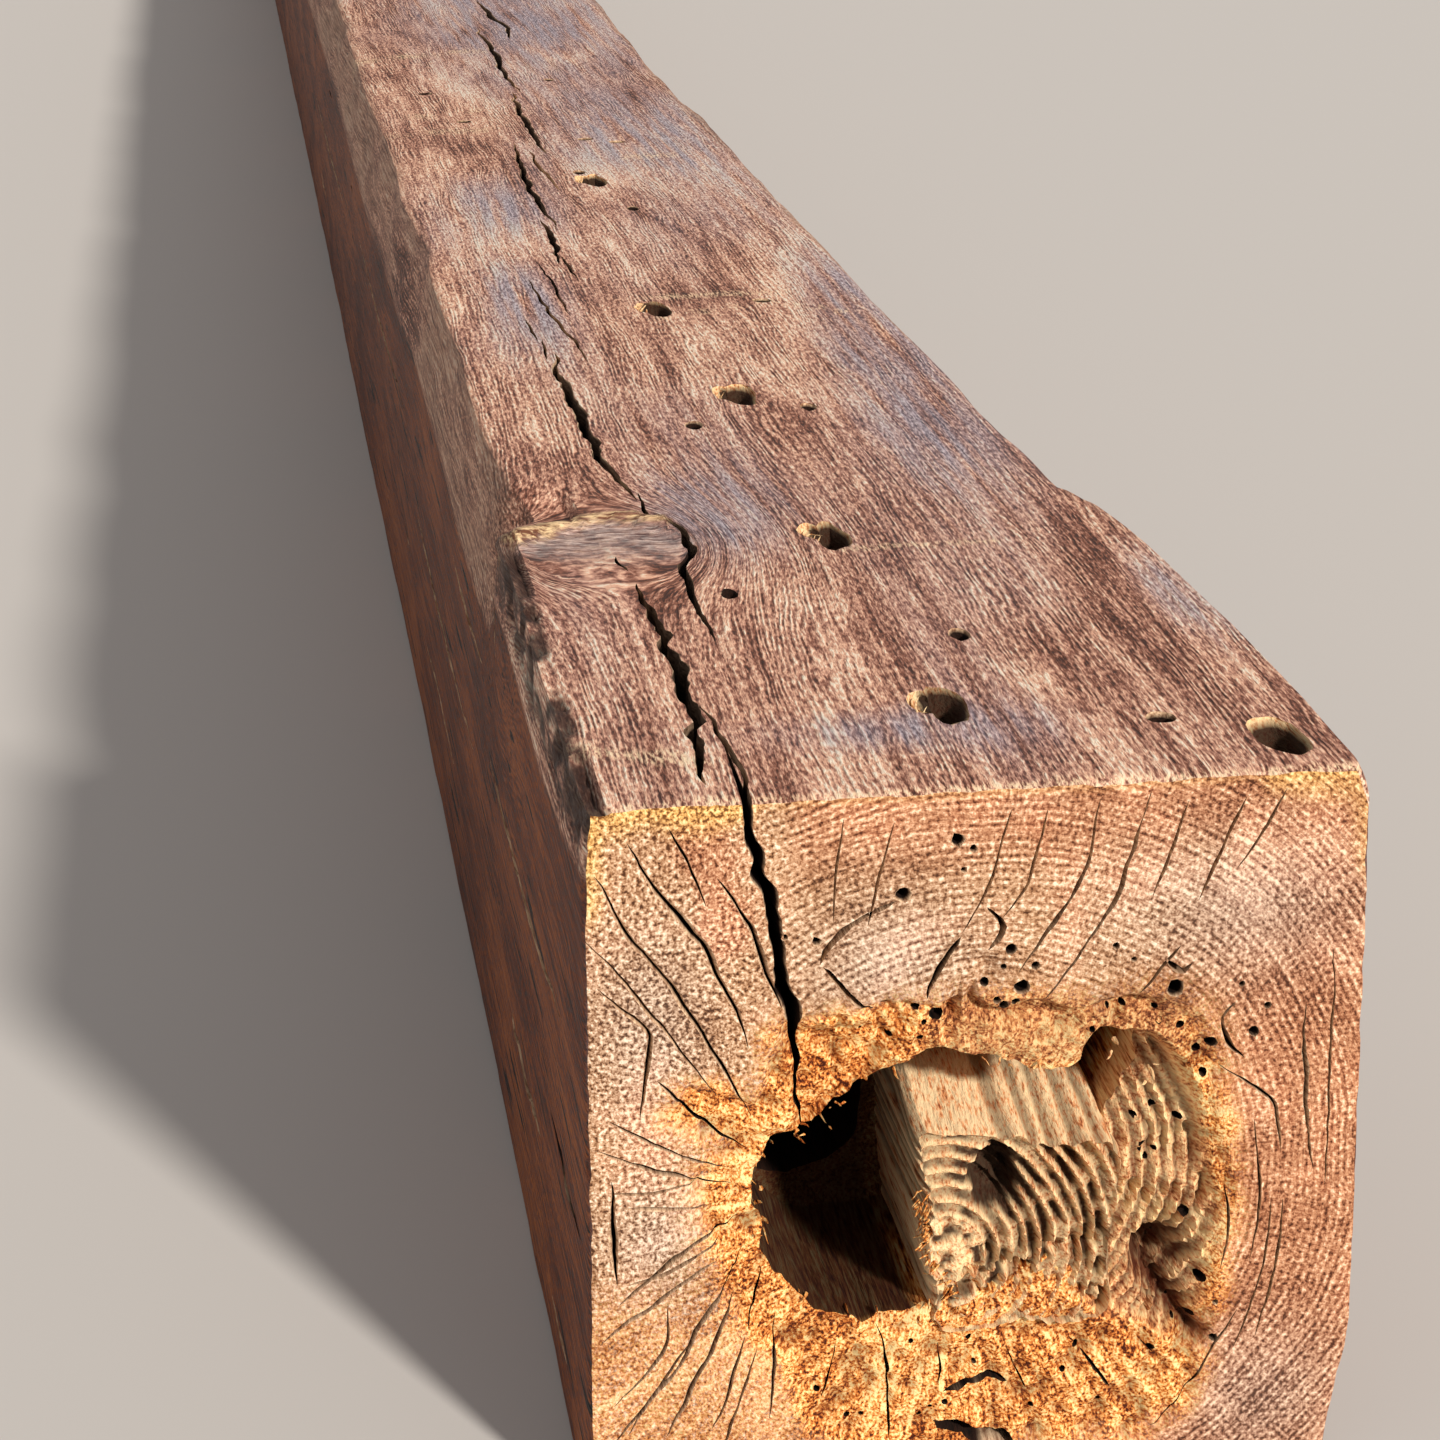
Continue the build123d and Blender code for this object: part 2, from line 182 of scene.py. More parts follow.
# Checks of the far end: angle, inner and outer distance from the pith, mouth width
FAR_CHECKS = [
    (12, 14, 88, 3.0), (64, 10, 74, 2.2), (118, 8, 100, 4.4), (161, 12, 80, 2.4), (207, 20, 92, 3.2),
    (248, 10, 70, 2.0), (292, 14, 86, 3.0), (338, 18, 78, 2.2), (38, 62, 112, 1.8), (140, 66, 116, 2.2),
    (228, 64, 112, 1.8), (315, 60, 108, 2.0),
]
# Splits of the side faces: mouth width, depth, route as (s, z)
LEFT_SPLITS = [
    (2.6, 16, [(70, 148), (180, 143), (330, 146)]),
    (2.2, 16, [(420, 118), (610, 112), (800, 116)]),
    (2.4, 16, [(900, 152), (1180, 147), (1420, 150)]),
    (2.2, 16, [(1700, 126), (2000, 121), (2260, 125)]),
    (2.0, 9, [(24, 92), (60, 90), (118, 93)]),
    (3.0, 9, [(150, 66), (210, 62), (262, 65)]),
    (2.2, 8, [(360, 178), (440, 174), (520, 177)]),
    (2.0, 8, [(560, 60), (650, 63), (760, 58)]),
    (3.6, 12, [(322, 236), (308, 222), (300, 200)]),
]
RIGHT_SPLITS = [
    (2.4, 16, [(90, 96), (300, 101), (520, 97)]),
    (2.2, 16, [(760, 128), (1010, 123), (1290, 127)]),
    (2.6, 16, [(1600, 112), (1950, 106), (2250, 110)]),
    (2.0, 9, [(40, 160), (110, 156), (190, 158)]),
    (2.0, 9, [(330, 62), (430, 66), (560, 60)]),
]

# Holes of the fastenings in the top face: x, s, depth
SPIKE_HOLES = [(4, 78, 52), (4, 280, 104), (4, 509, 112), (-7, 698, 108), (4, 1065, 120)]
BOLT_HOLES = [
    (71, 54, 75), (49, 709, 88), (17, 1222, 92), (36, 1206, 96), (-73, 1438, 90), (-56, 1308, 86), (104, 32, 60),
]
NAIL_HOLES = [(32, 481), (-23, 458), (17, 973), (-46, 212), (26, 150), (21, 1487), (-1, 1095)]
SPIKE_RADIUS, BOLT_RADIUS, NAIL_RADIUS = 6.0, 4.7, 2.6

# The decayed pocket's outline on the near end, as (x, drop)
POCKET = [
    (-57, -115), (-51, -114), (-43, -106), (-34, -98), (-16, -91), (-5, -91), (13, -95), (29, -98), (45, -95),
    (57, -92), (60, -102), (55, -117), (44, -135), (32, -163), (6, -175), (-14, -182), (-32, -183),
    (-48, -182), (-61, -167), (-69, -149), (-71, -131), (-66, -117),
]
# The pipe of decay behind it: distance in, x, drop and its two half-widths
PIPE = [(60, -43, -142, 23, 33), (130, -41, -141, 21, 29), (200, -38, -140, 19, 26), (340, -30, -137, 8, 10)]
# Where torn, unweathered wood shows round the pocket
TORN_ZONE = [
    (-62, -74), (-40, -75), (-17, -71), (8, -73), (40, -75), (60, -72), (74, -86), (82, -112), (86, -140),
    (85, -168), (80, -194), (77, -222), (60, -236), (22, -230), (0, -236), (-28, -230), (-52, -222),
    (-62, -196), (-74, -178), (-84, -158), (-90, -134), (-84, -116), (-98, -106), (-92, -94), (-72, -100),
]
# A shelf of the torn face above the hollow, lower than the rest
SHELF = [(-61, -78), (-46, -79), (-27, -82), (-33, -97), (-43, -108), (-56, -118)]
# The right-hand recess, where rings stand as ridges
RIDGED_ZONE = [
    (40, -88), (60, -90), (72, -108), (79, -137), (82, -160), (78, -186), (68, -199), (44, -188), (30, -160),
    (34, -120),
]
# Distance between growth rings
RING_PITCH = 4.4

# The standing block's section, as (x, drop)
BLOCK = [
    (-17, -122), (-9, -122), (16, -125), (40, -128), (50, -130), (51, -138), (48, -160), (46, -190), (20, -191),
    (-10, -190), (-13, -170), (-16, -140),
]
# The heart of the rings on it, which lies off the log's
BLOCK_HEART = (-8.0, -163.0)

# The knot in the top face: its middle, the outline of its bare face and the torn lip on its far side
KNOT = (-85.0, 282.0)
KNOT_LENS = [
    (-121, 284), (-104, 304), (-80, 316), (-60, 306), (-51, 280), (-56, 256), (-70, 248), (-95, 256),
    (-112, 268),
]
KNOT_LIP = [(-119, 290), (-104, 306), (-88, 316), (-70, 318), (-60, 312)]

# Patches of grey and blue film, as a middle and two half-widths: on the top (x, s), then on the near end
FILM_ON_TOP = [
    ((74, 425), (30, 140)), ((83, 570), (24, 90)), ((-36, 322), (24, 70)), ((-10, 58), (50, 22)),
    ((114, 180), (12, 60)), ((96, 700), (26, 140)), ((-72, 728), (20, 110)), ((60, 1200), (50, 260)),
    ((-60, 980), (30, 110)), ((20, 1900), (90, 420)), ((-20, 3100), (90, 700)), ((30, 4300), (70, 420)),
]
FILM_ON_END = [
    ((-30, -58), (28, 26)), ((85, -45), (42, 26)), ((-98, -150), (24, 26)), ((100, -225), (30, 30)),
    ((-104, -72), (20, 34)),
]
# Pale rubbed marks across the top: route as (x, s), and width
RUBBED_MARKS = [
    ([(-114, 1326), (-44, 1350)], 7), ([(-110, 1257), (-27, 1282)], 7), ([(-117, 1608), (-16, 1648)], 9),
    ([(35, 1148), (69, 1151)], 6), ([(-40, 725), (106, 733)], 3), ([(-19, 672), (53, 708), (92, 673)], 3),
    ([(6, 260), (65, 261)], 3), ([(-123, 58), (-89, 39)], 9), ([(-60, 2300), (70, 2310)], 8),
    ([(-90, 3400), (30, 3420)], 8), ([(-10, 4100), (90, 4090)], 8), ([(-122, 2), (118, 2)], 4),
]
# Sides of the near end where the sawn edge has worn to gold: route as (x, drop)
GOLD_TOP, GOLD_LEFT = [(-128, 0), (-80, 0)], [(-126, 0), (-126, -30)]
GOLD_RIGHT = [(96, 0), (128, -4), (128, -30)]

# The skin's points round the timber: left side, left wane, top, right wane, right side and underside, with the
# distance along up to which each set holds
SKIN_BANDS = [(330, (58, 12, 104, 9, 44, 14)), (900, (34, 9, 64, 8, 24, 8)), (LENGTH, (17, 7, 31, 6, 13, 5))]
# Spacing of the points on the near end's plain part, where it is torn, and on the block's front
END_STEP, TORN_STEP, FRONT_STEP = 2.7, 1.4, 0.75


def linear(colour):
    """An sRGB hex colour as linear red, green, blue and alpha."""
    parts = [int(colour[i:i + 2], 16) / 255 for i in (1, 3, 5)]
    return tuple(v / 12.92 if v <= 0.04045 else ((v + 0.055) / 1.055) ** 2.4 for v in parts) + (1.0,)


# What a user would change


def colour_property(name, description, value):
    """A colour that a user can change."""
    return bpy.props.FloatVectorProperty(
        name=name, description=description, subtype="COLOR", size=4, min=0, max=1, default=linear(value))


class SleeperShape(bpy.types.PropertyGroup):
    relief: bpy.props.FloatProperty(
        name="Grain relief", description="Strength of the raised grain on the long faces", default=1.0,
        min=0, max=3)
    pocket_depth: bpy.props.FloatProperty(
        name="Pocket depth", description="How far the decayed pocket reaches in from the near end",
        default=0.085, min=0.06, max=0.12, unit="LENGTH")
    side_slits: bpy.props.IntProperty(
        name="Side slits", description="Short drying slits tried on each side face", default=22, min=0,
        max=60)
    splinters: bpy.props.IntProperty(
        name="Splinters", description="Splinters that stand beside each spike hole", default=9, min=0, max=30)


class SleeperColours(bpy.types.PropertyGroup):
    top_wood: colour_property("Top", "Sawn top and underside, between pores and ridges", "#C4907A")
    side_wood: colour_property("Sides", "Sawn side faces, between pores and ridges", "#6E3318")
    film: colour_property("Film", "Blue-grey film of weather in the worn places", "#C8C0CC")
    end_wood: colour_property("End", "End grain where it is bleached", "#D4AC88")
    red_end_wood: colour_property("Red end", "End grain where it is still red", "#CC926C")
    gold_edge: colour_property("Gold edge", "Worn edge of the near end", "#DCA65E")
    broken_wood: colour_property("Broken heartwood", "Heartwood newly laid open", "#EC9E50")
    # The dry heartwood colour also serves as painted light on the block and in the ridged recess
    dry_wood: colour_property("Dry heartwood", "Heartwood that has dried paler", "#EEA46C")
    # The colour of the painted shade deep in the splits and holes
    split_wood: colour_property("Split walls", "Depth of the splits", "#301A10")
    floor: colour_property("Floor", "Plain floor", "#CFCCC8")


class StageSettings(bpy.types.PropertyGroup):
    key_energy: bpy.props.FloatProperty(
        name="Key light", description="Strength of the soft key light", default=4.2, min=0)
    key_angle: bpy.props.FloatProperty(
        name="Key softness", description="Angle that the key light fills", default=radians(5), min=0,
        max=radians(60), subtype="ANGLE")
    fill: bpy.props.FloatProperty(
        name="Fill", description="Strength of the pale surrounding light", default=0.38, min=0)


# Measuring and roughening


def noise_at(points, wave, seed=0):
    """Smooth noise from -1 to 1 at an array of points. wave is its size along each axis, in mm."""
    cell = np.asarray(points, float) / np.asarray(wave, float) + seed * 17.31
    base = np.floor(cell).astype(np.int64)
    part = cell - base
    part = part * part * (3 - 2 * part)
    total = np.zeros(len(cell))
    for corner in np.ndindex(2, 2, 2):
        at = base + np.array(corner)
        mixed = at[:, 0] * 73856093 ^ at[:, 1] * 19349663 ^ at[:, 2] * 83492791 ^ seed * 26544357
        mixed = ((mixed ^ (mixed >> 13)) * 1274126177) & 0xFFFFFFFF
        value = ((mixed ^ (mixed >> 16)) & 0xFFFF) / 32767.5 - 1
        total += value * np.prod(np.where(corner, part, 1 - part), axis=1)
    return total


def rough_at(points, wave, seed=0, octaves=3):
    """Noise with finer noise added on it, each octave half as large and half as strong."""
    wave = np.asarray(wave, float)
    return sum(noise_at(points, wave / 2 ** i, seed + i) / 2 ** i for i in range(octaves))


def ramp(low, high, value):
    """0 below low, 1 above high and smooth between."""
    share = np.clip((value - low) / (high - low), 0, 1)
    return share * share * (3 - 2 * share)


def distance_to(points, route):
    """Shortest distance from each 2D point to a route of points."""
    route = np.asarray(route, float)
    best = np.full(len(points), 1e9)
    for a, b in zip(route[:-1], route[1:]):
        along = np.clip(((points - a) @ (b - a)) / max((b - a) @ (b - a), 1e-9), 0, 1)
        best = np.minimum(best, np.linalg.norm(points - a - along[:, None] * (b - a), axis=1))
    return best


def depth_inside(points, outline):
    """Distance from each 2D point to a closed outline, positive inside it."""
    ring = np.vstack([outline, outline[:1]]).astype(float)
    inside = np.zeros(len(points), bool)
    for a, b in zip(ring[:-1], ring[1:]):
        crosses = (a[1] > points[:, 1]) != (b[1] > points[:, 1])
        rise = b[1] - a[1] if abs(b[1] - a[1]) > 1e-9 else 1e-9
        inside ^= crosses & (points[:, 0] < a[0] + (b[0] - a[0]) * (points[:, 1] - a[1]) / rise)
    return distance_to(points, ring) * np.where(inside, 1, -1)


def even_points(route, step, closed=False):
    """A smooth curve through the route's points, as points about step apart."""
    knots = np.asarray(route, float)
    knots = np.vstack([knots[-1:], knots, knots[:2]]) if closed else np.vstack(
        [2 * knots[:1] - knots[1:2], knots, 2 * knots[-1:] - knots[-2:-1]])
    fine = []
    for a, b, c, d in zip(knots, knots[1:], knots[2:], knots[3:]):
        t = np.linspace(0, 1, 12, endpoint=False)[:, None]
        fine.append(0.5 * (2 * b + (c - a) * t + (2 * a - 5 * b + 4 * c - d) * t ** 2
                           + (3 * b - a - 3 * c + d) * t ** 3))
    fine = np.vstack(fine + [knots[-2:-1]])
    walked = np.r_[0, np.cumsum(np.linalg.norm(np.diff(fine, axis=0), axis=1))]
    count = max(int(ceil(walked[-1] / step)), 4)
    at = np.linspace(0, walked[-1], count + 1)
    even = np.column_stack([np.interp(at, walked, fine[:, 0]), np.interp(at, walked, fine[:, 1])])
    return even[:-1] if closed else even


def on_end(x, drop):
    """Points of an end face, for noise that is the same at any depth."""
    return np.column_stack([x, np.zeros(len(x)), drop])


def patches_at(points, patches):
    """Soft oval patches, from 0 to 1. Each has a middle and two half-widths."""
    share = np.zeros(len(points))
    for middle, size in patches:
        share = np.maximum(share, np.exp(-(((points - middle) / size) ** 2).sum(axis=1)))
    return share


def standing_rings(away, pitch, power):
    """How high growth rings stand, from 0 to 1, by the distance from their heart."""
    return (0.5 + 0.5 * np.cos(2 * pi * away / pitch)) ** power


# The four faces and two ends that cuts are made in


def in_top(x, s, deep):
    return np.column_stack([x, s, HEIGHT - deep])


def in_near_end(x, drop, deep):
    return np.column_stack([x, deep, HEIGHT + drop])


def in_far_end(x, drop, deep):
    return np.column_stack([x, LENGTH - deep, HEIGHT + drop])


def in_left(s, z, deep):
    return np.column_stack([-HALF + deep, s, z])


def in_right(s, z, deep):
    return np.column_stack([HALF - deep, s, z])


# Closed shapes and meshes


def lofted(rings):
    """Closed shape through rings of as many points each, shut at both ends by a fan, facing outwards."""
    count = len(rings[0])
    points = np.vstack([*rings, rings[0].mean(0)[None], rings[-1].mean(0)[None]])
    first, last = len(points) - 2, len(points) - 1
    end = (len(rings) - 1) * count
    faces = [(here + k, here + (k + 1) % count, here + count + (k + 1) % count, here + count + k)
             for here in range(0, end, count) for k in range(count)]
    for k in range(count):
        following = (k + 1) % count
        faces.append((following, k, first))
        faces.append((end + k, end + following, last))
    a, b, c, d = (points[[face[min(i, len(face) - 1)] for face in faces]] for i in range(4))
    volume = (np.cross(a, b) * c).sum() + (np.cross(a, c) * d).sum()
    return points, faces if volume > 0 else [face[::-1] for face in faces]


def gathered(shapes):
    """Several closed shapes as one list of points and one of faces."""
    points, faces, offset = [], [], 0
    for shape_points, shape_faces in shapes:
        points.append(shape_points)
        faces += [tuple(i + offset for i in face) for face in shape_faces]
        offset += len(shape_points)
    return np.vstack(points), faces


def filled_face(outline, inner, rim, start, flipped=False):
    """Triangles over an outline and the points inside it. rim holds the outline's point numbers, and the inner
    points are numbered from start."""
    flat = np.vstack([outline, inner])
    count = len(outline)
    edges = [(i, (i + 1) % count) for i in range(count)]
    made, _, triangles, origins, _, _ = delaunay_2d_cdt([Vector(p) for p in flat], edges, [], 1, 1e-6)
    if len(made) != len(flat):
        raise RuntimeError("the outline of an end face crosses itself")
    ids = [int(rim[source[0]]) if source[0] < count else start + source[0] - count for source in origins]
    return [(ids[a], ids[c], ids[b]) if flipped else (ids[a], ids[b], ids[c]) for a, b, c in triangles]


def split_shape(place, mouth, depth, route, seed, step=3.0, ragged=0.35, walls=((0.22, 0.66),)):
    """V-shaped wedge with ragged sides that opens a split along its route. walls gives its levels on the way
    down, each as a share of the depth and of the mouth."""
    path = even_points(route, step)
    ahead = np.gradient(path, axis=0)
    ahead /= np.linalg.norm(ahead, axis=1)[:, None]
    aside = np.column_stack([-ahead[:, 1], ahead[:, 0]])
    # Both ends of the split close to nothing
    full = np.clip(np.sin(pi * np.linspace(0, 1, len(path))), 0, 1) ** 0.6
    flat = np.column_stack([path, np.full(len(path), float(seed))])
    drift = (0.25 + 0.3 * mouth) * rough_at(flat, (13, 13, 1), seed)
    levels = [(-OVER, 1.06), (0, 1.0)] + [(level * depth, share) for level, share in (*walls, (1.0, 0.08))]
    profile = []
    for side in (1, -1):
        jag = 1 + ragged * rough_at(flat, (7, 7, 1), seed + 11 * side + 20)
        profile += [(deep, side * (mouth / 2 * full * share * jag + 0.08)) for deep, share in levels][::side]
    level = np.array([deep for deep, _ in profile])
    rings = []
    for i, middle in enumerate(path):
        deep = np.where(level > 0, level * (0.3 + 0.7 * full[i]), level)
        lean = drift[i] + 0.08 * np.clip(deep, 0, None) * sin(seed)
        row = middle + aside[i] * (np.array([offset[i] for _, offset in profile]) + lean)[:, None]
        rings.append(place(row[:, 0], row[:, 1], deep))
    return lofted(rings)


def top_splits(splits, seed):
    """Shapes of the top face's splits, with points further apart where they lie far along."""
    return [split_shape(in_top, *split, seed + i, 2.6 + 0.008 * np.mean([s for _, s in split[2]]), walls=LIPPED)
            for i, split in enumerate(splits)]


def hole_shape(place, x, y, radius, depth, seed, mouth=1.0, points=16, stretch=1.0):
    """Closed shape of a drilled or torn hole. mouth and stretch say how many times wider and longer its mouth
    is."""
    turn = np.linspace(0, 2 * pi, points, endpoint=False)
    rings = []
    for deep, share in [(-OVER, mouth * 1.1), (0, mouth), (radius * 0.35, (1 + mouth) / 2 * 0.95),
                        (radius * 1.3, 1.0), (depth * 0.6, 0.97), (depth, 0.85)]:
        circle = np.column_stack([np.cos(turn) * 3, np.sin(turn) * 3, np.full(points, deep * 0.2)])
        torn = 0.07 + 0.38 * (mouth - 1) * (deep < radius)
        size = radius * share * (1 + torn * rough_at(circle, (2.4, 2.4, 4), seed))
        long = 1 + (stretch - 1) * np.clip(1 - deep / (3.2 * radius), 0, 1)
        rings.append(place(x + size * np.cos(turn), y + long * size * np.sin(turn),
                           np.full(points, float(deep))))
    return lofted(rings)


def make_object(name, points, faces, materials, indices=None):
    """New mesh object from points in the timber's frame."""
    mesh = bpy.data.meshes.new(name)
    placed = np.asarray(points, float) / 1000 - (0, LENGTH / 2000, 0)
    mesh.from_pydata(placed.tolist(), [], [tuple(int(i) for i in face) for face in faces])
    for material in materials:
        mesh.materials.append(material)
    if indices is not None:
        mesh.polygons.foreach_set("material_index", np.asarray(indices, np.int32))
    mesh.validate()
    piece = bpy.data.objects.new(name, mesh)
    bpy.context.scene.collection.objects.link(piece)
    return piece


def cut(piece, shapes, material):
    """Cut closed shapes out of a piece. The walls that open take the material."""
    cutter = make_object("cutter", *gathered(shapes), [material])
    step = piece.modifiers.new("cut", "BOOLEAN")
    step.operation = "DIFFERENCE"
    step.solver = "MANIFOLD"
    step.material_mode = "TRANSFER"
    step.object = cutter
    graph = bpy.context.evaluated_depsgraph_get()
    before = len(piece.data.polygons)
    mesh = bpy.data.meshes.new_from_object(piece.evaluated_get(graph), depsgraph=graph)
    if len(mesh.polygons) < before / 2:
        raise RuntimeError("a cut removed most of the piece")
    piece.modifiers.clear()
    piece.data = mesh
    bpy.data.objects.remove(cutter)


def points_of(piece):
    """A mesh's points in the timber's frame."""
    flat = np.empty(len(piece.data.vertices) * 3)
    piece.data.vertices.foreach_get("co", flat)
    return flat.reshape(-1, 3) * 1000 + (0, LENGTH / 2, 0)


def store(piece, name, values):
    """Keep a number or a vector for each point, for the materials to read."""
    values = np.asarray(values, np.float32)
    kind = "FLOAT" if values.ndim == 1 else "FLOAT_VECTOR"
    layer = piece.data.attributes.new(name, kind, "POINT")
    layer.data.foreach_set("value" if values.ndim == 1 else "vector", values.ravel())


# The timber's skin


def wane_size(stations, along):
    """Width and drop of a wane at a distance along."""
    at, inset, drop = np.array(stations, float).T
    return np.interp(along, at, inset), np.interp(along, at, drop)


def wane_curve(side, inset, drop, count):
    """Points over a wane from the side face up to the top."""
    low = np.array([side * HALF, HEIGHT - drop])
    high = np.array([side * (HALF - inset), HEIGHT])
    middle = np.array([side * (HALF - inset * WANE_ROUND[0]), HEIGHT - drop * WANE_ROUND[1]])
    pull = 2 * middle - (low + high) / 2
    t = np.linspace(0, 1, count, endpoint=False)[:, None]
    return (1 - t) ** 2 * low + 2 * t * (1 - t) * pull + t ** 2 * high


def section(along, counts):
    """The timber's outline at a distance along: up the left, over the top, down the right and back below."""
    left, left_edge, top, right_edge, right, bottom = counts
    inset_l, drop_l = wane_size(LEFT_WANE, along)
    inset_r, drop_r = wane_size(RIGHT_WANE, along)
    up = np.linspace(0, HEIGHT - drop_l, left, endpoint=False)
    across = np.linspace(-HALF + inset_l, HALF - inset_r, top, endpoint=False)
    over = wane_curve(1, inset_r, drop_r, right_edge + 1)[1:][::-1]
    over = np.vstack([[HALF - inset_r, HEIGHT], over])
    down = np.linspace(HEIGHT - drop_r, 0, right, endpoint=False)
    back = np.linspace(HALF, -HALF, bottom, endpoint=False)
    return np.vstack([
        np.column_stack([np.full(left, -HALF), up]),
        wane_curve(-1, inset_l, drop_l, left_edge),
        np.column_stack([across, np.full(top, HEIGHT)]),
        over,
        np.column_stack([np.full(right, HALF), down]),
        np.column_stack([back, np.zeros(bottom)]),
    ])


def loop_places(counts):
    """Where each point of a section lies round it, from 0 to 6, a whole number for each face."""
    spread = [np.arange(n) / n + face for face, n in enumerate(counts)]
    spread[3] = np.arange(counts[3] + 1) / (counts[3] + 1) + 3
    return np.concatenate(spread)


def joined_rows(first, first_places, second, second_places):
    """Triangles between two closed loops that have different numbers of points."""
    faces, i, j = [], 0, 0
    n, m = len(first), len(second)
    while i < n or j < m:
        next_first = first_places[i + 1] if i + 1 < n else 6.0
        next_second = second_places[j + 1] if j + 1 < m else 6.0
        if j >= m or (i < n and next_first <= next_second):
            faces.append((first[(i + 1) % n], second[j % m], first[i % n]))
            i += 1
        else:
            faces.append((second[(j + 1) % m], second[j % m], first[i % n]))
            j += 1
    return faces


def row_distances():
    """Distances along for the rows of the skin, close at the ends and wider in the middle."""
    rows = [0.7]
    while rows[-1] < LENGTH - 4:
        here = rows[-1]
        rows.append(here + min(2.4 + 0.0108 * here, 26.0, 4 + 0.03 * (LENGTH - here)))
    return rows[:-1] + [LENGTH - 0.7]


def crumbled_strip(points):
    """Where the fibres have crumbled under the left arris near the end, from 0 to 1."""
    x, s, z = points.T
    edge = HEIGHT - 22 + 6 * noise_at(points, (1e6, 24, 1e6), 13)
    return (x < -HALF + 8) * ramp(edge - 4, edge + 4, z) * (1 - ramp(270, 320, s))


def worn_skin(points, outward, relief):
    """Skin points moved in or out by saw marks, grain, waney edges and wear."""
    x, s, z = points.T
    from_end = np.minimum(s, LENGTH - s)
    plan = points[:, :2]
    # Raised grain, finer near the end where the eye comes close, and the slow waves of a sawn face
    fine = np.clip(1.2 - s / 1500, 0.25, 1)
    out = relief * (fine * 0.32 * noise_at(points, (2.6, 46, 2.6), 1) + 0.5 * noise_at(points, (7, 130, 7), 2)
                    + 1.1 * rough_at(points, (80, 380, 80), 3, 2))
    # Scalloped wanes
    inset_l, drop_l = wane_size(LEFT_WANE, s)
    inset_r, drop_r = wane_size(RIGHT_WANE, s)
    on_left = (x < -HALF + inset_l + 2) * ramp(HEIGHT - drop_l - 5, HEIGHT - drop_l + 5, z)
    on_right = (x > HALF - inset_r - 2) * ramp(HEIGHT - drop_r - 5, HEIGHT - drop_r + 5, z)
    on_wane = np.clip(on_left + on_right, 0, 1) * ramp(250, 360, s)
    scallop = rough_at(points, (22, 95, 22), 5)
    out += on_wane * (2.2 * scallop - 1.2 + 0.9 * noise_at(points, (5, 60, 5), 8))
    # Crumbled fibres where the left wane meets the side near the end
    out -= crumbled_strip(points) * (0.5 + 3.4 * np.clip(rough_at(points, (8, 15, 8), 12) + 0.1, 0, 1.2))
    # The knot's bare face lies lower, behind a torn lip, and the side is hollow beside it
    top = z > HEIGHT - 3
    out -= top * 1.1 * ramp(-3, 3, depth_inside(plan, KNOT_LENS)) * ramp(244, 268, s)
    out += top * (2.2 + 2.0 * rough_at(points, (7, 6, 7), 19)) * ramp(8, 3, distance_to(plan, KNOT_LIP))
    out -= np.exp(-((s - 338) / 22) ** 2) * (x < -90) * ramp(190, 235, z) * 5
    # The lower arrises are rubbed
    low = ramp(120, HALF, np.abs(x)) * (1 - ramp(0, 5, z))
    out -= low * (1.2 + 0.9 * rough_at(points, (6, 70, 6), 18))
    moved = points + outward * (out * (1 - 0.9 * np.exp(-from_end / 5)))[:, None]
    # Both ends are worn round, most of all at the corners
    corner = ramp(100, HALF, np.abs(x)) * ramp(75, 125, np.abs(z - HEIGHT / 2))
    wear = (1.3 + 1.6 * np.abs(rough_at(points, (9, 9, 9), 15)) + 1.8 * corner) * np.exp(-from_end / 2.4)
    inward = np.column_stack([-x, 0 * x, HEIGHT / 2 - z])
    moved += inward * (wear / np.linalg.norm(inward, axis=1))[:, None]
    # The near end spreads a little on its right, where decay has opened it
    moved[:, 0] += (x > HALF - 6) * np.exp(-s / 140) * ramp(0, 60, z) * (1 - z / HEIGHT) * 7
    moved[:, 2] = np.maximum(moved[:, 2], 0)
    return moved


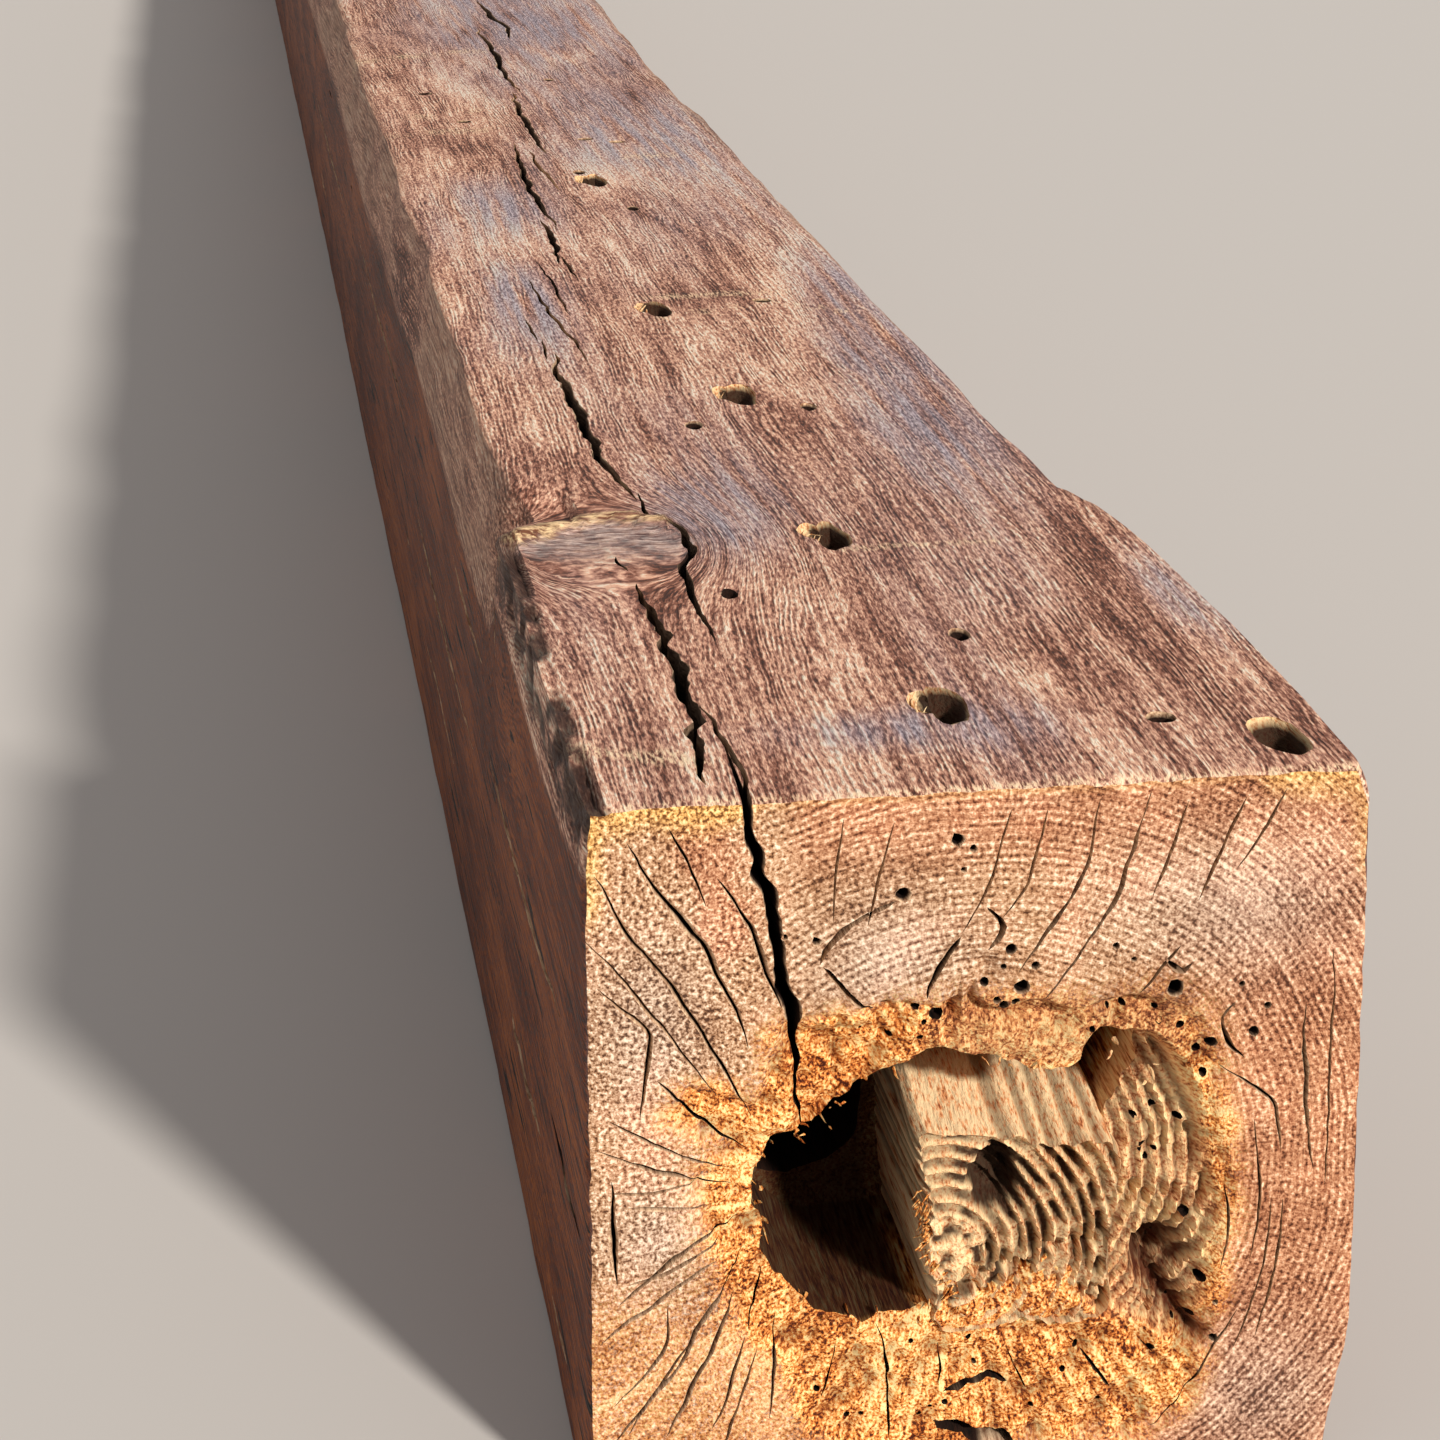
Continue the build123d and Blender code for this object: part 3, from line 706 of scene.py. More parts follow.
def end_relief(x, drop):
    """How far the near end's face lies in behind the sawn end, how far it is ridged, and the painted shade
    of its grooves and hollows."""
    flat = np.column_stack([x, drop])
    spot = on_end(x, drop)
    px, pz = x - PITH_X, drop - PITH_DROP
    away = np.hypot(px, pz)
    wander = 2.2 * noise_at(spot, (30, 1, 30), 31) + 0.8 * noise_at(spot, (10, 1, 10), 32)
    ridge = standing_rings(away + wander, RING_PITCH, 2.4)
    clump = rough_at(spot, (8, 1, 8), 35)
    shred = rough_at(spot, (3.6, 1, 3.6), 36, 2)
    polar = np.column_stack([px / np.maximum(away, 1) * 60, pz / np.maximum(away, 1) * 60, away])
    rays = np.clip(noise_at(polar, (1.6, 1.6, 40), 39), 0, 1)
    # The sawn face, with rings that stand a little on its right
    out = 0.5 + 0.16 * noise_at(polar, (4, 4, 1.7), 40) + 0.4 * noise_at(spot, (30, 1, 30), 38)
    out += 0.45 * (1 - ridge) * ramp(45, 85, px - 0.2 * pz) * ramp(82, 94, away)
    # The torn face round the pocket: granular, and deepest on the ledge above it
    torn = ramp(-1.5, 2.5, depth_inside(flat, TORN_ZONE) + 3.4 * rough_at(spot, (12, 1, 12), 33))
    above = ramp(-93, -76, drop) * ramp(-62, -30, x) * (1 - ramp(52, 66, x))
    out += torn * (2.6 + 1.0 * clump + 1.5 * shred + 1.0 * rays)
    out += torn * above * (3.0 + 3.6 * clump + 1.6 * shred)
    # The shelf, with a stair of fine ridges
    shelf = ramp(-2, 3, depth_inside(flat, SHELF) + 1.2 * clump)
    out += shelf * (6.5 - 3.0 * torn * above + 1.2 * np.abs(((drop + 0.2 * x) / 3.4) % 2 - 1))
    # A crumbled spot above the pocket
    spoilt = ramp(11, 5, np.hypot(x + 1, drop + 62) + 4 * clump)
    out += spoilt * (1.6 + 2.4 * clump + 1.2 * shred)
    # The recess on the right, where rings stand as ridges and fall away into the pocket
    outside = np.clip(-depth_inside(flat, POCKET), 0, None)
    ridged = ramp(-3, 4, depth_inside(flat, RIDGED_ZONE) + 1.5 * noise_at(spot, (8, 1, 8), 34))
    out += torn * 2.5 * np.exp(-outside / 4)
    out += ridged * (2 + 20 * np.exp(-outside / 17)) + ridged * (1 - ridge) * (3.0 + 2.2 * clump)
    # The apron under the block falls away to it
    under = ramp(-20, 10, x) * (1 - ramp(58, 74, x)) * (1 - ramp(-200, -182, drop))
    out += under * torn * (2.4 * (1 - ramp(0, 22, np.abs(drop + 188))) + 1.2 * np.clip(clump, -0.2, 1))
    # The hollow at the block's right foot, and the gutter that leads down from it
    hollow = np.exp(-(((x - 66) / 8) ** 2 + ((drop + 172) / 9) ** 2) ** 1.5)
    gutter = np.exp(-(distance_to(flat, [(62, -178), (69, -188), (77, -199)]) / 3.5) ** 2)
    out += 22 * hollow + 10 * gutter
    # Painted shade: the recess's ring grooves, the hollow and gutter, and the deeper parts of the torn face
    dark = ridged * (1 - ridge) ** 2.2 * 0.78 + 0.92 * np.maximum(hollow, gutter)
    dark += np.maximum(torn, spoilt) * (1 - ridged) * np.clip(0.5 * shred + 0.3 * clump + 0.3 * rays, 0, 0.7)
    return np.clip(out, 0.1, 60), ridged, np.clip(dark, 0, 0.95)


def near_cap(loop, rim, start):
    """Points and triangles of the near end, on the skin's first row."""
    outline = loop[:, [0, 2]] - (0, HEIGHT)
    rng = np.random.default_rng(4)
    gx, gz = np.meshgrid(np.arange(-HALF, HALF + 8, END_STEP), np.arange(-HEIGHT, 0, END_STEP))
    wide = np.column_stack([gx.ravel(), gz.ravel()]) + rng.uniform(-0.6, 0.6, (gx.size, 2))
    gx, gz = np.meshgrid(np.arange(-96, 90, TORN_STEP), np.arange(-240, -70, TORN_STEP))
    close = np.column_stack([gx.ravel(), gz.ravel()]) + rng.uniform(-0.25, 0.25, (gx.size, 2))
    zone = np.array(TORN_ZONE, float)
    wide = wide[depth_inside(wide, zone) < -6.5]
    close = close[depth_inside(close, zone) >= -6]
    # The pocket's cut takes most of what lies inside it, so few points are kept there
    hidden = depth_inside(close, np.array(POCKET, float)) > 5
    inner = np.vstack([wide, close[~hidden], close[hidden][::9]])
    inner = inner[depth_inside(inner, outline) > 1.1]
    rim_share = 0.35 + 0.65 * ramp(0, 7, depth_inside(inner, outline))
    deep = 0.1 + (end_relief(inner[:, 0], inner[:, 1])[0] - 0.1) * rim_share
    return in_near_end(inner[:, 0], inner[:, 1], deep), filled_face(outline, inner, rim, start)


def far_cap(loop, rim, start):
    """Points and triangles of the far end, on the skin's last row."""
    outline = loop[:, [0, 2]] - (0, HEIGHT)
    gx, gz = np.meshgrid(np.arange(-HALF, HALF, 5.5), np.arange(-HEIGHT, 0, 5.5))
    inner = np.column_stack([gx.ravel(), gz.ravel()])
    inner += np.random.default_rng(6).uniform(-1.5, 1.5, inner.shape)
    inner = inner[depth_inside(inner, outline) > 2]
    deep = np.clip(0.4 + 0.35 * rough_at(on_end(*inner.T), (12, 1, 12), 51), 0.05, 5)
    return in_far_end(inner[:, 0], inner[:, 1], deep), filled_face(outline, inner, rim, start, flipped=True)


def timber_skin(relief):
    """Points, faces and material numbers of the whole closed skin, before any cut."""
    points, faces, rows = [], [], []
    offset = 0
    for along in row_distances():
        counts = next(sizes for reach, sizes in SKIN_BANDS if along <= reach)
        outline = section(along, counts)
        ahead = np.roll(outline, -1, 0) - np.roll(outline, 1, 0)
        outward = np.column_stack([-ahead[:, 1], np.zeros(len(outline)), ahead[:, 0]])
        outward /= np.linalg.norm(outward, axis=1)[:, None]
        row = np.column_stack([outline[:, 0], np.full(len(outline), along), outline[:, 1]])
        points.append(worn_skin(row, outward, relief))
        rows.append((np.arange(offset, offset + len(row)), counts))
        offset += len(row)
    for (here, here_counts), (ahead, ahead_counts) in zip(rows, rows[1:]):
        if here_counts == ahead_counts:
            n = len(here)
            faces += [(here[k], here[(k + 1) % n], ahead[(k + 1) % n], ahead[k]) for k in range(n)]
        else:
            faces += joined_rows(here, loop_places(here_counts), ahead, loop_places(ahead_counts))
    skin = len(faces)
    near, near_faces = near_cap(points[0], rows[0][0], offset)
    far, far_faces = far_cap(points[-1], rows[-1][0], offset + len(near))
    faces += near_faces + far_faces
    indices = np.zeros(len(faces), int)
    indices[skin:] = 1
    return np.vstack([*points, near, far]), faces, indices


# What is cut out of the timber


def pocket_shape(depth):
    """Closed shape of the decayed pocket, with rings and torn fibres on its walls."""
    outline = even_points(POCKET, 2.2, closed=True)
    centre = outline.mean(0)
    away = outline - centre
    away /= np.linalg.norm(away, axis=1)[:, None]
    ledge = ramp(-104, -94, outline[:, 1])
    rings = []
    for deep in [-OVER, 0, 1.2, 2.6, 4.2, *np.arange(6.8, depth + 1, 4.2)]:
        spot = np.column_stack([outline[:, 0], np.full(len(outline), max(deep, 0)), outline[:, 1]])
        mouth = np.exp(-max(deep, 0) / 8)
        size = 0.9 * rough_at(spot, (5, 42, 5), 41) + 1.5 * rough_at(spot, (16, 60, 16), 42)
        size += mouth * (1.2 + 2.0 * ledge) * rough_at(spot, (8, 7, 8), 43) - ledge * mouth * 1.5
        at = outline + away * size[:, None]
        rings.append(in_near_end(at[:, 0], at[:, 1], np.full(len(at), float(deep))))
    back = rings[-1][:, [0, 2]] - (0, HEIGHT)
    for share in (0.9, 0.72, 0.5, 0.28, 0.12):
        at = centre + (back - centre) * share
        rings.append(in_near_end(at[:, 0], at[:, 1], depth + 2.5 * rough_at(on_end(*at.T), (10, 1, 10), 44)))
    return lofted(rings)


def pipe_shape():
    """Closed shape of the decay that runs on along the log behind the pocket."""
    turn = np.linspace(0, 2 * pi, 36, endpoint=False)
    along, *sizes = np.array(PIPE, float).T
    rings = []
    for deep in np.linspace(along[0], along[-1], 30):
        x, drop, wide, tall = [np.interp(deep, along, size) for size in sizes]
        level = np.full(len(turn), deep)
        spot = np.column_stack([np.cos(turn) * wide, level, np.sin(turn) * tall])
        size = 1 + 0.12 * rough_at(spot, (14, 60, 14), 45)
        rings.append(in_near_end(x + wide * np.cos(turn) * size, drop + tall * np.sin(turn) * size, level))
    return lofted(rings)


def side_slits(rng, tries):
    """Shapes of short slits scattered over both side faces, more of them towards the near end."""
    shapes = []
    for i in range(2 * tries):
        z, long = rng.uniform(20, 195), rng.uniform(26, 120)
        s = 30 + (LENGTH - 200) * rng.random() ** 2
        route = [(s, z), (s + long / 2, z + rng.normal(0, 1.5)), (s + long, z + rng.normal(0, 2))]
        mouth, depth = rng.uniform(2.0, 4.6), rng.uniform(6, 12)
        if all(np.hypot(a - s, b - z) > 60 for split in LEFT_SPLITS + RIGHT_SPLITS for a, b in split[2]):
            shapes.append(split_shape((in_left, in_right)[i % 2], mouth, depth, route, 300 + i, 14.0, 0.5))
    return shapes


def first_splits():
    """Shapes of the splits and checks that don't cross one another."""
    shapes = top_splits(TOP_SPLITS, 0)
    shapes += [split_shape(in_near_end, *check, 30 + i, 2.2, 0.6, BEVELLED)
               for i, check in enumerate(NEAR_CHECKS)]
    for place, splits, seed in ((in_left, LEFT_SPLITS, 60), (in_right, RIGHT_SPLITS, 80)):
        shapes += [split_shape(place, 1.5 * mouth, depth, route, seed + i, 9.0, 0.5)
                   for i, (mouth, depth, route) in enumerate(splits)]
    for i, (angle, inner, outer, mouth) in enumerate(FAR_CHECKS):
        out = np.array([-cos(radians(angle)), sin(radians(angle))])
        route = [tuple(out * reach + (-PITH_X, PITH_DROP)) for reach in (inner, (inner + outer) / 2, outer)]
        shapes.append(split_shape(in_far_end, mouth, 26, route, 100 + i))
    return shapes


def crossing_splits(slits):
    """Shapes of the splits that cross the first ones, the hairline checks, the pipe and the side slits."""
    shapes = top_splits(CROSSING_SPLITS, 120)
    shapes += [split_shape(in_near_end, *check, 140 + i, 2.3, 0.7, ()) for i, check in enumerate(HAIR_CHECKS)]
    return shapes + [pipe_shape()] + slits


def clean_holes(rng):
    """Shapes of the main split of the near end, the borer holes, the small pits and the round holes."""
    shapes = [split_shape(in_near_end, *MAIN_SPLIT, 170, 1.8, 0.5, ((0.05, 0.7), (0.3, 0.5)))]
    shapes += [hole_shape(in_near_end, *pit, 180 + i, mouth=1.5, points=9) for i, pit in enumerate(END_PITS)]
    for count, (x0, y0, x1, y1) in SMALL_PITS:
        for x, drop in rng.uniform((x0, y0), (x1, y1), (count, 2)):
            radius = rng.uniform(0.6, 1.5)
            shapes.append(hole_shape(in_near_end, x, drop, radius, 26.0, int(x * 7) % 90, mouth=1.6, points=7))
    shapes += [hole_shape(in_top, x, s, BOLT_RADIUS, depth, 220 + i, mouth=1.12)
               for i, (x, s, depth) in enumerate(BOLT_HOLES[:-1])]
    shapes += [hole_shape(in_top, x, s, NAIL_RADIUS, 45, 230 + i, mouth=1.45, points=10, stretch=2.0)
               for i, (x, s) in enumerate(NAIL_HOLES)]
    return shapes


def torn_mouths():
    """Shapes of the shallow dishes that driven spikes have torn, and of the worn corner hole's."""
    shapes = [hole_shape(in_top, x - 5.5, s + 5, 3.8, 2.0, 240 + i, mouth=1.5, points=20, stretch=2.2)
              for i, (x, s, _) in enumerate(SPIKE_HOLES)]
    x, s, _ = BOLT_HOLES[-1]
    return shapes + [hole_shape(in_top, x, s, 6.0, 12, 250, mouth=1.4, points=24, stretch=2.2)]


def torn_holes():
    """Shapes of the spike holes and of the corner hole, long and wide at the surface."""
    shapes = [hole_shape(in_top, x + 1, s, SPIKE_RADIUS - 1, depth, 260 + i, mouth=1.45, points=20,
                         stretch=2.7)
              for i, (x, s, depth) in enumerate(SPIKE_HOLES)]
    x, s, depth = BOLT_HOLES[-1]
    return shapes + [hole_shape(in_top, x, s, BOLT_RADIUS + 0.6, depth, 270, mouth=1.3, points=18,
                                stretch=2.2)]


# What the materials read at each point


def grain_place(points):
    """Each point's place in the log before its fibres were turned aside by the knot and by slow growth."""
    x, s, z = points.T
    lx = x - PITH_X - 9 * np.sin(s / 640 + 0.5) + 9 * sin(0.5)
    lz = z - HEIGHT - PITH_DROP - 7 * np.sin(s / 470)
    dx, ds = x - KNOT[0], (s - KNOT[1]) / 1.55
    away = np.hypot(dx, ds)
    near = np.exp(-np.clip(away - 30, 0, None) / 60) * ramp(HEIGHT - 150, HEIGHT - 20, z)
    lx = lx - near * dx * np.clip(36 ** 2 / np.maximum(away, 30) ** 2, 0, 1.2)
    lx = lx + 2.5 * noise_at(points, (60, 420, 60), 61) + 1.2 * noise_at(points, (30, 150, 30), 62)
    lz = lz + 2.5 * noise_at(points, (60, 420, 60), 63) + 1.2 * noise_at(points, (30, 150, 30), 64)
    return np.column_stack([lx, s, lz])


def dress_top(piece, points):
    """Mark the knot, its torn lip, and the filmed and rubbed places of the top."""
    x, s, z = points.T
    plan = points[:, :2]
    on_top = ramp(HEIGHT - 14, HEIGHT - 5, z)
    lens = depth_inside(plan, KNOT_LENS) + 4 * rough_at(points, (9, 9, 9), 71)
    store(piece, "knot", on_top * ramp(-8, 6, lens) * ramp(246, 290, s))
    lip = distance_to(plan, KNOT_LIP) + 2.2 * rough_at(points, (8, 6, 8), 70)
    store(piece, "lip", on_top * ramp(7.5, 3.5, lip))
    store(piece, "knot_way", np.column_stack([x - KNOT[0], (s - KNOT[1]) / 1.1, z * 0]) / 1000)
    film = np.clip(1.25 * patches_at(plan, FILM_ON_TOP) + 0.35 * noise_at(points, (40, 140, 40), 76), 0, 1)
    end_film = (s < 3) * patches_at(np.column_stack([x, z - HEIGHT]), FILM_ON_END)
    store(piece, "greyed", np.maximum(on_top * film, end_film))
    ragged = rough_at(points, (12, 8, 12), 77)
    rubbed = [ramp(size, size * 0.3, distance_to(plan, route) + 0.6 * size * ragged)
              for route, size in RUBBED_MARKS]
    store(piece, "rubbed", np.max(rubbed, axis=0) * on_top)


def dress_ends(piece, points):
    """Mark what is freshly broken, gold, red and ringed on the ends and in the pocket, the painted shade of the
    near end's grooves and hollows, and where the paler heartwood colour lies, partly as painted light.
    """
    x, s, z = points.T
    drop = z - HEIGHT
    flat = np.column_stack([x, drop])
    torn = ramp(-8, 5, depth_inside(flat, TORN_ZONE) + 4.5 * rough_at(points, (11, 20, 11), 72)) * (s < 120)
    near_hole = 0.7 * ramp(34, 6, distance_to(flat, POCKET + POCKET[:1])) * (s < 90)
    low_left = 0.45 * ramp(20, -30, x) * ramp(-150, -185, drop) * (s < 20)
    store(piece, "fresh", np.clip(np.maximum(torn, near_hole) + low_left, 0, 1))

    top = ramp(-4, 9, 9 - distance_to(flat, GOLD_TOP) + 4 * noise_at(points, (9, 9, 9), 73))
    left = ramp(-4, 6, 7 - distance_to(flat, GOLD_LEFT) + 4 * noise_at(points, (9, 9, 9), 74))
    right = ramp(-4, 6, 7 - distance_to(flat, GOLD_RIGHT) + 4 * noise_at(points, (12, 9, 12), 75))
    gold = np.maximum(top, left) + 0.55 * right + 0.3 * ramp(3.4, 1.4, -drop)
    store(piece, "gold", np.clip(gold, 0, 1) * (s < 6))

    cap = (s < 45) & (x > -130)
    _, ridged, hollows = end_relief(x[cap], drop[cap])
    ledge = (ramp(-104, -92, drop[cap]) * ramp(-24, 0, x[cap]) * (1 - ramp(60, 78, x[cap]))
             * ramp(-66, -76, drop[cap]))
    groove, pale = np.zeros(len(x)), np.zeros(len(x))
    # groove holds the painted shade of the near end's grooves and hollows, and a plain darkening of the band
    # above the pocket
    groove[cap] = np.maximum(hollows, 0.3 * ledge)
    # pale is painted light in the ridged recess, which lies in shade, and a plain paler tone on the band above
    # the pocket
    pale[cap] = np.maximum(0.6 * ridged, 0.22 * ledge)
    if piece.name == "standing_heartwood":
        # Painted paler all over, partly its own colour and partly painted light against the shade on its front;
        # palest on its top and its left side, as painted light, and along a torn fringe at the lower left of its
        # front, as a painted highlight
        fringe = distance_to(flat, [(-15, -150), (-12, -180), (24, -187)]) + rough_at(points, (4, 4, 4), 79)
        pale = np.maximum(0.8 + 0.2 * ramp(-133, -124, drop) * ramp(8, 14, s), ramp(7, 3, fringe) * (s < 12))
        pale = np.maximum(pale, 0.9 * ramp(-8, -14, x))
    store(piece, "groove", groove)
    # The bleached mark: the paler heartwood colour, its own at the torn mouths near the top, and partly painted
    # light on the block and in the ridged recess
    store(piece, "bleached", np.where(z > HEIGHT - 14, 0.8, pale))

    near, far = s < 60, s > LENGTH - 60
    by_split = distance_to(flat, [(-89, -5), (-80, -42)]) + 3 * rough_at(points, (9, 9, 9), 78)
    red = np.maximum.reduce([ramp(0, 70, x - 20 - 0.3 * (drop + 120)),
                             0.9 * ramp(-36, -12, drop) * ramp(-66, -54, x), ramp(13, 5, by_split)])
    store(piece, "red_side", red * near + 0.6 * far)
    store(piece, "ringed",
          np.maximum(ramp(-80, -56, x) * ramp(-130, -100, drop), ramp(10, 60, x)) * near + far)


def dress(piece, shade):
    """Give a piece the numbers that its materials read. shade is the painted shade of its hollows and grooves.
    """
    points = points_of(piece)
    x, s, z = points.T
    drop = z - HEIGHT
    store(piece, "shade", shade)
    store(piece, "log", grain_place(points) / 1000)
    # How far a point lies below the surface that a split or a hole opens in, which sets the painted shade on
    # the walls there
    below = np.minimum.reduce([s, LENGTH - s, 2.4 * (HEIGHT - z), 4 * (HALF - np.abs(x))])
    below = ramp(0.3, 2.6, below)
    # The bolt and nail holes are painted dark all the way down, as shade
    for hx, hs in [hole[:2] for hole in BOLT_HOLES] + NAIL_HOLES:
        below = np.maximum(below, (np.hypot(x - hx, (s - hs) / 2) < BOLT_RADIUS + 1.5) & (z < HEIGHT - 0.5))
    store(piece, "below", below)
    dress_top(piece, points)
    dress_ends(piece, points)
    inset_l, drop_l = wane_size(LEFT_WANE, s)
    inset_r, drop_r = wane_size(RIGHT_WANE, s)
    on_left = (x < -HALF + inset_l + 3) * (drop > -drop_l - 2)
    wane = np.maximum(on_left, (x > HALF - inset_r - 3) * (drop > -drop_r - 2))
    store(piece, "waney", wane * ramp(230, 360, s))
    side = ramp(HALF - 10, HALF - 3, np.abs(x)) * (1 - wane) * ramp(-7, -17, drop)
    store(piece, "side", np.maximum(side, 0.65 * ramp(4, 1, z)))
    store(piece, "rotten", 0.92 * crumbled_strip(points) * ramp(-0.7, -0.05, rough_at(points, (8, 15, 8), 12)))


def hollow_shade(points):
    """Painted shade at each point: the pocket darker with depth and on its left, the torn holes darker below
    their mouths, and the worn corner hole's dish darkened.
    """
    x, s, z = points.T
    in_pocket = (z < HEIGHT - 70) & (z > HEIGHT - 210) & (np.abs(x) < 85)
    # Painted shade: the pocket darkens with depth, and on its left where the block would shade it
    shade = in_pocket * np.maximum(0.94 * ramp(0.5, 6, s) * ramp(-12, -19, x), 0.85 * ramp(25, 70, s))
    in_holes = z > HEIGHT - 130
    # Painted shade inside the torn holes below their mouths
    for hx, hs, _ in SPIKE_HOLES + BOLT_HOLES[-1:]:
        inside = ramp(SPIKE_RADIUS + 3, SPIKE_RADIUS + 2, np.hypot(x - hx - 1, (s - hs) / 2.6)) * in_holes
        shade = np.maximum(shade, 0.97 * inside * ramp(HEIGHT + 0.2, HEIGHT - 1.0, z))
    # Painted shade over the worn corner hole's dish
    hx, hs, _ = BOLT_HOLES[-1]
    pit = ramp(17, 13, np.hypot(x - hx, (s - hs) / 1.5)) * in_holes
    return np.maximum(shade, 0.8 * pit * ramp(HEIGHT - 0.5, HEIGHT - 4, z))


# The block that stands in the pocket


def block_ridges(x, drop):
    """How high the growth rings stand on the block, from 0 to 1, with a fine net in place of them near their
    heart."""
    spot = on_end(x, drop)
    wander = 1.8 * noise_at(spot, (20, 1, 20), 305) + 0.4 * noise_at(spot, (7, 1, 7), 306)
    away = np.hypot(x - BLOCK_HEART[0], drop - BLOCK_HEART[1]) + wander
    net = ramp(17, 9, away)
    rings = standing_rings(away, RING_PITCH * 1.05, 3.4)
    return rings * (1 - net) + net * ramp(-0.5, 0.4, rough_at(spot, (3.4, 1, 2.6), 307, 2))


def block_slope(drop):
    """How far the block's front leans back towards its top."""
    return 9 * ramp(-158, -118, drop)


def block_sides(depth):
    """Rows of points round the block, from its front to its back, and how deep its grooves are round a row,
    which also sets their painted shade.
    """
    outline = even_points(BLOCK, 1.3, closed=True)
    away = outline - outline.mean(0)
    away /= np.linalg.norm(away, axis=1)[:, None]
    x, drop = outline.T
    line = (1 - block_ridges(x, drop)) ** 6
    lean, upper = block_slope(drop), ramp(-134, -126, drop)
    rows = []
    for deep in [2.2, 3.0, *np.arange(4.2, depth + 10, 2.2)]:
        spot = np.column_stack([x, np.full(len(x), deep), drop])
        size = 0.35 * noise_at(spot, (1.9, 34, 1.9), 302) - 1.1 * line + 1.3 * noise_at(spot, (14, 60, 14), 303)
        wear = np.exp(-(deep - 2.2) / 4) * (1.6 + 1.2 * noise_at(spot, (6, 4, 6), 304))
        at = outline + away * (size - wear)[:, None]
        at[:, 1] += 9 * upper * ramp(2, 60, deep)
        rows.append(in_near_end(at[:, 0], at[:, 1], lean + deep * (1 - lean / (depth + 10))))
    return rows, line


def block_front(rim):
    """Points inside the block's front, how far in they lie, and the painted shade in its grooves and hollow."""
    gx, gz = np.meshgrid(np.arange(-24, 58, FRONT_STEP), np.arange(-196, -112, FRONT_STEP))
    inner = np.column_stack([gx.ravel(), gz.ravel()])
    inner += np.random.default_rng(9).uniform(-0.15, 0.15, inner.shape)
    inner = inner[depth_inside(inner, rim) > 0.7]
    x, drop = inner.T
    spot = on_end(x, drop)
    ridge = block_ridges(x, drop)
    broken = ramp(-0.5, 0.5, rough_at(spot, (5, 1, 5), 307, 2))
    slots = np.exp(-(((x - 36) / 9) ** 2 + ((drop + 131) / 9) ** 2))
    groove = (1 - ridge) * (2.2 + 3.4 * broken * ramp(0, 12, x) + 6 * slots)
    mouth = np.hypot((x - 9) / 0.95, (drop + 140) / 1.15) + 1.8 * noise_at(spot, (5, 1, 5), 308)
    hollow = 15 * ramp(11, 6, mouth)
    deep = 2.0 + groove + hollow + block_slope(drop) + 0.4 * rough_at(spot, (2.0, 1, 2.0), 309, 2)
    # Its foot is crumbled
    deep += 6.0 * ramp(0.0, 0.5, rough_at(spot, (6, 1, 6), 310)) * ramp(-154, -166, drop)
    # Painted shade in the ring grooves and in the hollow
    shade = np.clip((1 - ridge) ** 2.2 * (0.55 + 0.45 * broken) + ramp(2, 10, hollow), 0, 0.96)
    return inner, np.clip(deep, 0.3, 30), shade


def splinter(rng, root, tip, width):
    """Closed shape of one bowed fibre from its root to its tip."""
    along = tip - root
    side = np.cross(along, rng.normal(size=3))
    side *= width / np.linalg.norm(side)
    other = np.cross(along, side)
    other *= width * 0.6 / np.linalg.norm(other)
    bow = rng.normal(size=3) * np.linalg.norm(along) * 0.06
    rings = []
    for share, size in ((0, 1.0), (0.4, 0.8), (0.75, 0.5), (1.0, 0.12)):
        centre = root + along * share + bow * sin(pi * share)
        rings.append(np.array([centre + size * (a * side + b * other)
                               for a, b in ((1, 0), (0, 1), (-1, 0), (0, -1))]))
    return lofted(rings)


def fibre_shapes(rng, at_each_hole):
    """Shapes of the splinters beside the spike holes, round the pocket and along the block's left side."""
    shapes = []
    for x, s, _ in SPIKE_HOLES:
        for _ in range(at_each_hole):
            turn, reach = rng.uniform(0.7 * pi, 1.3 * pi), rng.uniform(8.5, 11.5)
            root = np.array([x + reach * cos(turn), s + reach * sin(turn), HEIGHT - rng.uniform(1, 5)])
            tip = root + (rng.normal(0, 1.2) - cos(turn) * 2, rng.choice((-1, 1)) * rng.uniform(2, 7),
                          rng.uniform(0, 4))
            shapes.append(splinter(rng, root, tip, rng.uniform(0.3, 0.7)))
    edge = even_points(POCKET, 1.0, closed=True)
    for x, drop in edge[rng.random(len(edge)) < 0.22]:
        # None in front of the recess on the right
        if x > 30 and drop < -120:
            continue
        root = np.array([x + rng.normal(0, 1.5), rng.uniform(3, 12), HEIGHT + drop + rng.normal(0, 1.5)])
        tip = root + (rng.normal(0, 1.2), -rng.uniform(1, 8), rng.normal(0, 1.2))
        tip[1] = max(tip[1], 0.5)
        shapes.append(splinter(rng, root, tip, rng.uniform(0.35, 0.9)))
    for _ in range(120):
        down = rng.uniform(0, 1)
        root = np.array([-15 + 18 * down ** 2 + rng.normal(0, 1.2), rng.uniform(3, 9),
                         HEIGHT - 140 - 48 * down])
        tip = root + (rng.normal(-2.5, 1.5), -rng.uniform(1, 4), rng.normal(-1.5, 1.5))
        tip[1] = max(tip[1], 0.4)
        shapes.append(splinter(rng, root, tip, rng.uniform(0.3, 0.7)))
    return shapes


# Materials


